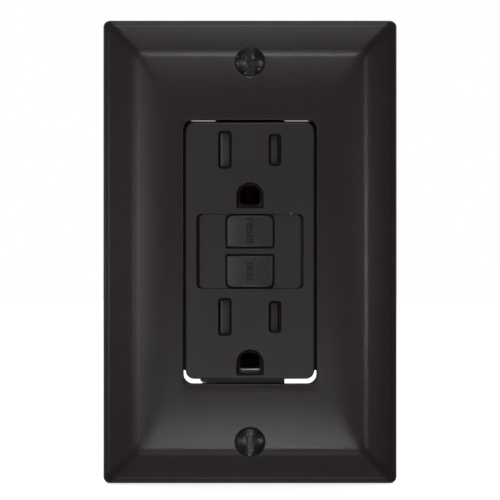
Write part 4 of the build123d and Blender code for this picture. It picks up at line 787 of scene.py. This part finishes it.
def leaf_shell(first, tip, last, bend, thickness, span, placing):
    """A bent strip: two straight legs that an arc joins at the tip, of even thickness, over this span across.
    placing turns (u, v, across) to (x, y, z)."""
    first, tip, last = (np.array(point) for point in (first, tip, last))
    u, v = ((end - tip) / np.linalg.norm(end - tip) for end in (first, last))
    half = math.acos(u @ v) / 2
    centre = tip + (u + v) / np.linalg.norm(u + v) * bend / math.sin(half)
    starts = [tip + way * bend / math.tan(half) - centre for way in (u, v)]
    low, high = (math.atan2(*start[::-1]) for start in starts)
    high = low + (high - low + math.pi) % (2 * math.pi) - math.pi
    arc = np.linspace(low, high, 13)
    normal = np.stack([np.cos(arc), np.sin(arc)], -1)
    path = np.concatenate([[first], centre + bend * normal, [last]])
    normal = np.concatenate([normal[:1], normal, normal[-1:]])
    rings = []
    for side, across in ((1, span[0]), (1, span[1]), (-1, span[1]), (-1, span[0])):
        u, v = (path + side * thickness / 2 * normal).T
        rings.append(np.stack(placing(u, v, 0 * u + across), -1))
    return shell(np.stack(rings, 1))


def word_mesh(word, sizes, middle):
    """A word turned to read downwards, as a thin print that follows the cap: its thickness is added to the cap's
    height, a hair above it."""
    tall_letter, hair = 0.73, 0.012 * MM
    line = bpy.data.curves.new(word, "FONT")
    line.body = word
    line.size = sizes.word_height / tall_letter
    line.align_x = "CENTER"
    line.extrude = 0.02 * MM
    line.offset = 0.03 * MM
    carrier = bpy.data.objects.new(word, line)
    bpy.context.scene.collection.objects.link(carrier)
    bpy.context.view_layer.update()
    mesh = bpy.data.meshes.new_from_object(carrier.evaluated_get(bpy.context.evaluated_depsgraph_get()))
    bpy.data.objects.remove(carrier)
    bpy.data.curves.remove(line)
    points = np.zeros(len(mesh.vertices) * 3, np.float32)
    mesh.vertices.foreach_get("co", points)
    points = points.reshape(-1, 3)
    x = middle[0] + points[:, 1] - sizes.word_height / 2
    printed = np.stack([x, -(cap_height(sizes, x) + points[:, 2] + hair), middle[1] - points[:, 0]], -1)
    mesh.vertices.foreach_set("co", printed.astype(np.float32).ravel())
    mesh.materials.clear()
    return mesh


# --- Operators: one for each piece or group of like pieces, and one for the stage ---


class OUTLET_OT_wall_plate(bpy.types.Operator):
    """Build the bevelled wall plate"""

    bl_idname = "outlet.wall_plate"
    bl_label = "Wall plate"

    def execute(self, context):
        shells = plate_shells(context.scene.outlet_plate)
        piece("bevelled_wall_plate", shells, "device", "plate_plastic", ["wall_plate"], 50)
        return {"FINISHED"}


class OUTLET_OT_screws(bpy.types.Operator):
    """Build the plate, box, terminal, earth and housing screws with slots and threads"""

    bl_idname = "outlet.screws"
    bl_label = "Screws"

    def execute(self, context):
        sizes = context.scene.outlet_screws
        self.plate_screws(sizes)
        self.box_screws(sizes)
        self.terminal_screws(sizes)
        return {"FINISHED"}

    def plate_screws(self, sizes):
        """Oval heads level with the panel; the underside is a cone down to the shank."""
        radius, shank = sizes.plate_head_radius, 1.65 * MM
        face = -plate_screw_low.y - sizes.plate_crown
        depth = 2.1 * MM
        shells = []
        for end, turn in ((1, sizes.upper_turn), (-1, sizes.lower_turn)):
            origin = (0, -face, end * (plate_screw_high.z - radius))
            across = (math.cos(turn), 0, math.sin(turn))
            along = (-math.sin(turn), 0, math.cos(turn))
            frame_of = (origin, across, along, (0, -1, 0))
            shells.append(head_shell(
                radius,
                lambda r: sizes.plate_crown * (1 - (r / radius) ** 2),
                lambda r: -depth * np.clip((radius - r) / (radius - shank), 0, 1),
                sizes.slot_width, sizes.plate_crown - sizes.slot_depth, *frame_of,
            ))
            shells.append(thread_shell(shank, sizes.pitch, (-plate_screw_high.y - face, -depth + 0.2 * MM), *frame_of))
        piece("oval_plate_screws", shells, "device", "black_screw", ["plate_screws"], 40)

    def box_screws(self, sizes):
        """Pan heads seated on the strap, a plain neck in it and a long thread behind it. The neck is a thread of no
        depth, whose pitch is so long that its taper covers all of it."""
        radius, height = sizes.box_head_radius, 2.0 * MM
        seat = box_screw_low.y + height
        shells = []
        for end in (1, -1):
            frame_of = ((0, seat, end * (box_screw_high.z - radius)), (0, 0, 1), (1, 0, 0), (0, -1, 0))
            shells.append(head_shell(
                radius, pan_head(radius, height, 4), flat_seat, sizes.slot_width, height - 1.0 * MM, *frame_of
            ))
            shells.append(thread_shell(1.5 * MM, 10.0, (-1.5 * MM, 0.3 * MM), *frame_of, depth=0.0))
            shells.append(thread_shell(1.75 * MM, sizes.pitch, (seat - box_screw_high.y, -1.3 * MM), *frame_of))
        piece("threaded_box_screws", shells, "device", "zinc_steel", ["box_screws"], 40)

    def terminal_screws(self, sizes):
        """Pan heads outside the side plates, and the earth screw under the strap's bent tab."""
        radius, height = sizes.terminal_head_radius, 2.0 * MM
        top = pan_head(radius, height, 9)
        for pole, side, slot in (("hot", 1, "screw_brass"), ("neutral", -1, "screw_silver")):
            low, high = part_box(f"{pole}_terminal_screws")
            seat = (high.x if side > 0 else -low.x) - height
            inner = low.x if side > 0 else -high.x
            shells = []
            for z in (low.z + radius, high.z - radius):
                frame_of = ((side * seat, (low.y + high.y) / 2, z), (0, 1, 0), (0, 0, 1), (side, 0, 0))
                shells.append(head_shell(radius, top, flat_seat, sizes.slot_width, height - 1.0 * MM, *frame_of))
                shells.append(thread_shell(2.0 * MM, sizes.pitch, (inner - seat, 0.2 * MM), *frame_of))
            piece(f"{pole}_side_screws", shells, "device", slot, [f"{pole}_terminal_screws"], 40)
        middle = (earth_screw_low + earth_screw_high) / 2
        seat = earth_screw_low.z + height
        frame_of = ((middle.x, middle.y, seat), (1, 0, 0), (0, 1, 0), (0, 0, -1))
        shells = [
            head_shell(radius, top, flat_seat, sizes.slot_width, height - 1.0 * MM, *frame_of),
            thread_shell(2.0 * MM, sizes.pitch, (seat - earth_screw_high.z, 0.2 * MM), *frame_of),
        ]
        piece("earth_screw", shells, "device", "screw_green", ["ground_screw"], 40)


class OUTLET_OT_buttons(bpy.types.Operator):
    """Build the crowned caps of the reset and test buttons"""

    bl_idname = "outlet.buttons"
    bl_label = "Buttons"

    def execute(self, context):
        sizes = context.scene.outlet_buttons
        for name, low, high, body, outer, inner, stem in (
            ("reset_cap", reset_low, reset_high, "reset", sizes.outer_radius, sizes.inner_radius, False),
            ("test_cap", test_low, test_high, "test", sizes.inner_radius, sizes.outer_radius, True),
        ):
            shells = button_shells((low.z + high.z) / 2, -reset_high.y, sizes, outer, inner, 2.9 * MM, stem)
            piece(name, shells, body, "button_plastic", [f"{body}_button"], 40)
        return {"FINISHED"}


class OUTLET_OT_springs(bpy.types.Operator):
    """Build the springs"""

    bl_idname = "outlet.springs"
    bl_label = "Springs"

    def execute(self, context):
        low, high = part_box("reset_spring")
        wire = 0.5 * MM
        ends, middle = (low.y + wire / 2, high.y - wire / 2), ((low.x + high.x) / 2, (low.z + high.z) / 2)
        coil = coil_shell((high.x - low.x - wire) / 2, wire, 4, ends, middle)
        self.spring("reset_coil", coil, "reset_spring", "device", "reset_press", (0, 1, 0), high, 2.0 * MM)

        low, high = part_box("test_spring")
        middle = (test_low.z + test_high.z) / 2
        legs = ((4.0 * MM, middle - 4.0 * MM), (0.9 * MM, middle), (1.9 * MM, middle + 2.8 * MM))
        leaf = leaf_shell(*legs, 1.5 * MM, 0.3 * MM, (low.x, high.x), lambda u, v, across: (across, u, v))
        self.spring("test_leaf", leaf, "test_spring", "device", "test_press", (0, 1, 0), high, 1.25 * MM)

        low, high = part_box("latch_spring")
        foot, tip = low.z + 0.07 * MM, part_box("latch_plate")[0].z + 0.1 * MM
        legs = ((-2.3 * MM, foot), (0.0, tip), (2.3 * MM, foot))
        leaf = leaf_shell(*legs, 0.8 * MM, 0.25 * MM, (low.y, high.y), lambda u, v, across: (u, across, v))
        self.spring("latch_leaf", leaf, "latch_spring", "carriage", "latch_release", (0, 0, 1), low, 1.75 * MM)

        for row in ("upper", "lower"):
            node = f"{row}_shutter_spring"
            low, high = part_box(node)
            middle, tip = (low.z + high.z) / 2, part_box(f"{row}_shutter")[0].x - 0.25 * MM
            foot = low.x + 0.05 * MM
            legs = ((foot, middle - 2.2 * MM), (tip, middle), (foot, middle + 2.2 * MM))
            leaf = leaf_shell(*legs, 1.0 * MM, 0.3 * MM, (low.y, high.y), lambda u, v, across: (u, across, v))
            self.spring(f"{row}_shutter_leaf", leaf, node, "device", f"{row}_shutter_open", (1, 0, 0), low, 0.45 * MM)
        return {"FINISHED"}

    def spring(self, name, strip, node, body, joint, axis, seat, travel):
        """A spring in place of the frame's own. Its seat, one corner of that one's box, and its joint, axis and travel
        are not used."""
        made = piece(name, [strip], body, "spring_steel", [node])
        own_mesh(made)


class OUTLET_OT_words(bpy.types.Operator):
    """Print the word on each button"""

    bl_idname = "outlet.words"
    bl_label = "Words"

    def execute(self, context):
        sizes = context.scene.outlet_buttons
        # Pad-printing ink: flat, a little darker than the cap
        ink = coated("pad_printing_ink", context.scene.outlet_colours.ink, 0.6, 0.4 * MM, 0.002 * MM, specular=0.12)
        for word, low, high, body in (
            (sizes.reset_word, reset_low, reset_high, "reset"),
            (sizes.test_word, test_low, test_high, "test"),
        ):
            mesh = word_mesh(word, sizes, (0.4 * MM, (low.z + high.z) / 2))
            mesh.materials.append(ink)
            made = bpy.data.objects.new(f"{body}_word", mesh)
            context.scene.collection.objects.link(made)
            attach(made, body)
        return {"FINISHED"}


class OUTLET_OT_frame_finishes(bpy.types.Operator):
    """Give every carried-over piece of the frame its finish"""

    bl_idname = "outlet.frame_finishes"
    bl_label = "Frame finishes"

    def execute(self, context):
        flange_radius, floor_drop = 3.55 * MM, 2.0 * MM
        trough_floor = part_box("ground_contacts")[0].z + flange_radius - floor_drop
        for part in frame["record"]["subparts"]:
            node = frame["nodes"][part["node"]]
            if part["node"] == "ground_contacts":
                # Tinned strip: nearly black with painted shade, and one bright line of painted highlight
                made = wiped_trough("wiped_tinned_strip", "#f2efe6", "#151413", trough_floor)
            else:
                made = slot_finish(part["material_slot"])
            for held in node.material_slots:
                held.material = made
            if not node.material_slots:
                raise RuntimeError(f"{node.name} has no material slot to finish")
        return {"FINISHED"}


class OUTLET_OT_stage(bpy.types.Operator):
    """Set up the floor, lamps, world and camera"""

    bl_idname = "outlet.stage"
    bl_label = "Stage"

    def execute(self, context):
        sizes = context.scene.outlet_stage
        self.floor(context, sizes)
        self.lamps(context)
        self.world(context)
        self.camera(context, sizes)
        context.scene.view_settings.view_transform = "Standard"
        return {"FINISHED"}

    def floor(self, context, sizes):
        """A level square just under the plate; the camera sees it brighter than it lights the object, and the
        object's shadow still darkens it."""
        half, z = sizes.floor_size / 2, plate_low.z - 0.05 * MM
        mesh = bpy.data.meshes.new("floor")
        mesh.from_pydata([(-half, -half, z), (half, -half, z), (half, half, z), (-half, half, z)], [], [(0, 1, 2, 3)])
        made = bpy.data.objects.new("floor", mesh)
        context.scene.collection.objects.link(made)
        # Matt studio paper: plain, almost white
        material = bpy.data.materials.new("pale_paper")
        material.use_nodes = True
        material.node_tree.nodes.clear()
        node = partial(add_node, material.node_tree)
        paper = node(
            "ShaderNodeBsdfPrincipled", {"Base Color": toned(sizes.floor), "Roughness": 0.9, "Specular IOR Level": 0.1}
        )["BSDF"]
        lift = node("ShaderNodeEmission", {"Color": (1, 1, 1, 1), "Strength": 0.66})["Emission"]
        lifted = node("ShaderNodeAddShader", {0: paper, 1: lift})["Shader"]
        seen = self.seen_by(node, "Is Camera Ray", "Is Glossy Ray", "Is Transmission Ray")
        surface = node("ShaderNodeMixShader", {0: seen, 1: paper, 2: lifted})["Shader"]
        node("ShaderNodeOutputMaterial", {"Surface": surface})
        mesh.materials.append(material)
        # The lamps below shine up through the floor
        made.visible_shadow = False
        made.visible_glossy = False

    def seen_by(self, node, first, *more):
        """1 for these kinds of ray, which see the white background."""
        path = node("ShaderNodeLightPath")
        seen = path[first]
        for ray in more:
            seen = node("ShaderNodeMath", {0: seen, 1: path[ray]}, operation="MAXIMUM")[0]
        return seen

    def lamps(self, context):
        """Soft round lamps on a dome, unseen by the camera and aimed at the object: each one's name, its turn to the
        right and its rise in degrees, its width and its brightness. Its power is pi times its area times that."""
        distance = 1.15
        for name, turn, rise, size, brightness in (
            ("left", -21, 0, 0.26, 7.91),
            ("left side", -38, 0, 0.16, 7.91),
            ("far left", -66, 0, 0.3, 4.19),
            ("right", 18, 0, 0.15, 4.19),
            ("right side", 37, 0, 0.12, 35.3),
            ("just above", 0, 19, 0.12, 6.51),
            ("above", 0, 25, 0.17, 27),
            ("high", 0, 37, 0.2, 4.65),
            ("overhead", 0, 64, 0.4, 5.58),
            ("below", 0, -18, 0.16, 24.2),
            ("just below", 0, -11, 0.15, 9.3),
            ("low", 0, -40, 0.25, 3.72),
            ("far below", 0, -66, 0.3, 3.2),
            ("back", 155, 35, 0.6, 2.33),
        ):
            turn, rise = math.radians(turn), math.radians(rise)
            place = distance * Vector(
                (math.sin(turn) * math.cos(rise), -math.cos(turn) * math.cos(rise), math.sin(rise))
            )
            lamp = bpy.data.lights.new(name, "AREA")
            lamp.shape = "DISK"
            lamp.size = size
            lamp.energy = brightness * math.pi * math.pi * size**2 / 4
            made = bpy.data.objects.new(name, lamp)
            made.location = place
            made.rotation_euler = (-place).to_track_quat("-Z", "Y").to_euler()
            made.visible_camera = False
            context.scene.collection.objects.link(made)

    def world(self, context):
        """White where the background is seen. The studio light is white behind the object and grey on the side that
        its front faces, with the grey a little lighter on the left."""
        world = bpy.data.worlds.new("studio")
        world.use_nodes = True
        world.node_tree.nodes.clear()
        node = partial(add_node, world.node_tree)
        part = node("ShaderNodeSeparateXYZ", {"Vector": node("ShaderNodeTexCoord")["Object"]})
        grey = node(
            "ShaderNodeMapRange",
            {"Value": part["X"], "From Min": -0.7, "From Max": 0.7, "To Min": 0.21, "To Max": 0.07},
        )["Result"]
        level = node(
            "ShaderNodeMapRange", {"Value": part["Y"], "From Min": -0.1, "From Max": 0.3, "To Min": grey, "To Max": 1.0}
        )["Result"]
        studio = node("ShaderNodeBackground", {"Color": (1, 1, 1, 1), "Strength": level})["Background"]
        white = node("ShaderNodeBackground", {"Color": (1, 1, 1, 1), "Strength": 1.0})["Background"]
        seen = self.seen_by(node, "Is Camera Ray", "Is Transmission Ray")
        mixed = node("ShaderNodeMixShader", {0: seen, 1: studio, 2: white})["Shader"]
        node("ShaderNodeOutputWorld", {"Surface": mixed})
        context.scene.world = world

    def camera(self, context, sizes):
        """Straight on to the plate, at its own height."""
        lens = bpy.data.cameras.new("camera")
        lens.sensor_width = 36
        lens.lens = lens.sensor_width * sizes.camera_distance / sizes.view_width
        lens.clip_start = 0.01
        made = bpy.data.objects.new("camera", lens)
        made.location = (0, plate_low.y - sizes.camera_distance, sizes.camera_height)
        made.rotation_euler = (math.pi / 2, 0, 0)
        context.scene.collection.objects.link(made)
        context.scene.camera = made


class OUTLET_PT_panel(bpy.types.Panel):
    """Operators and sizes of the wall outlet"""

    bl_idname = "OUTLET_PT_panel"
    bl_label = "Duplex wall outlet"
    bl_space_type = "VIEW_3D"
    bl_region_type = "UI"
    bl_category = "Outlet"

    def draw(self, context):
        for group, operators in PANEL_ROWS:
            box = self.layout.box()
            sizes = getattr(context.scene, group)
            for name in type(sizes).__annotations__:
                box.prop(sizes, name)
            for operator in operators:
                box.operator(operator.bl_idname)


SETTINGS = {
    "outlet_plate": OutletPlateSizes,
    "outlet_screws": OutletScrewSizes,
    "outlet_buttons": OutletButtonSizes,
    "outlet_colours": OutletColours,
    "outlet_stage": OutletStageSizes,
}
PANEL_ROWS = (
    ("outlet_plate", (OUTLET_OT_wall_plate,)),
    ("outlet_screws", (OUTLET_OT_screws, OUTLET_OT_springs)),
    ("outlet_buttons", (OUTLET_OT_buttons, OUTLET_OT_words)),
    ("outlet_colours", (OUTLET_OT_frame_finishes,)),
    ("outlet_stage", (OUTLET_OT_stage,)),
)
CLASSES = (*SETTINGS.values(), *(kind for _, operators in PANEL_ROWS for kind in operators), OUTLET_PT_panel)


def register():
    for kind in CLASSES:
        bpy.utils.register_class(kind)
    for name, kind in SETTINGS.items():
        setattr(bpy.types.Scene, name, PointerProperty(type=kind))


def unregister():
    for name in SETTINGS:
        delattr(bpy.types.Scene, name)
    for kind in reversed(CLASSES):
        bpy.utils.unregister_class(kind)


def main():
    """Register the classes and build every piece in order."""
    register()
    bpy.ops.outlet.wall_plate()
    bpy.ops.outlet.screws()
    bpy.ops.outlet.buttons()
    bpy.ops.outlet.springs()
    bpy.ops.outlet.words()
    bpy.ops.outlet.frame_finishes()
    bpy.ops.outlet.stage()


if __name__ == "__main__":
    main()
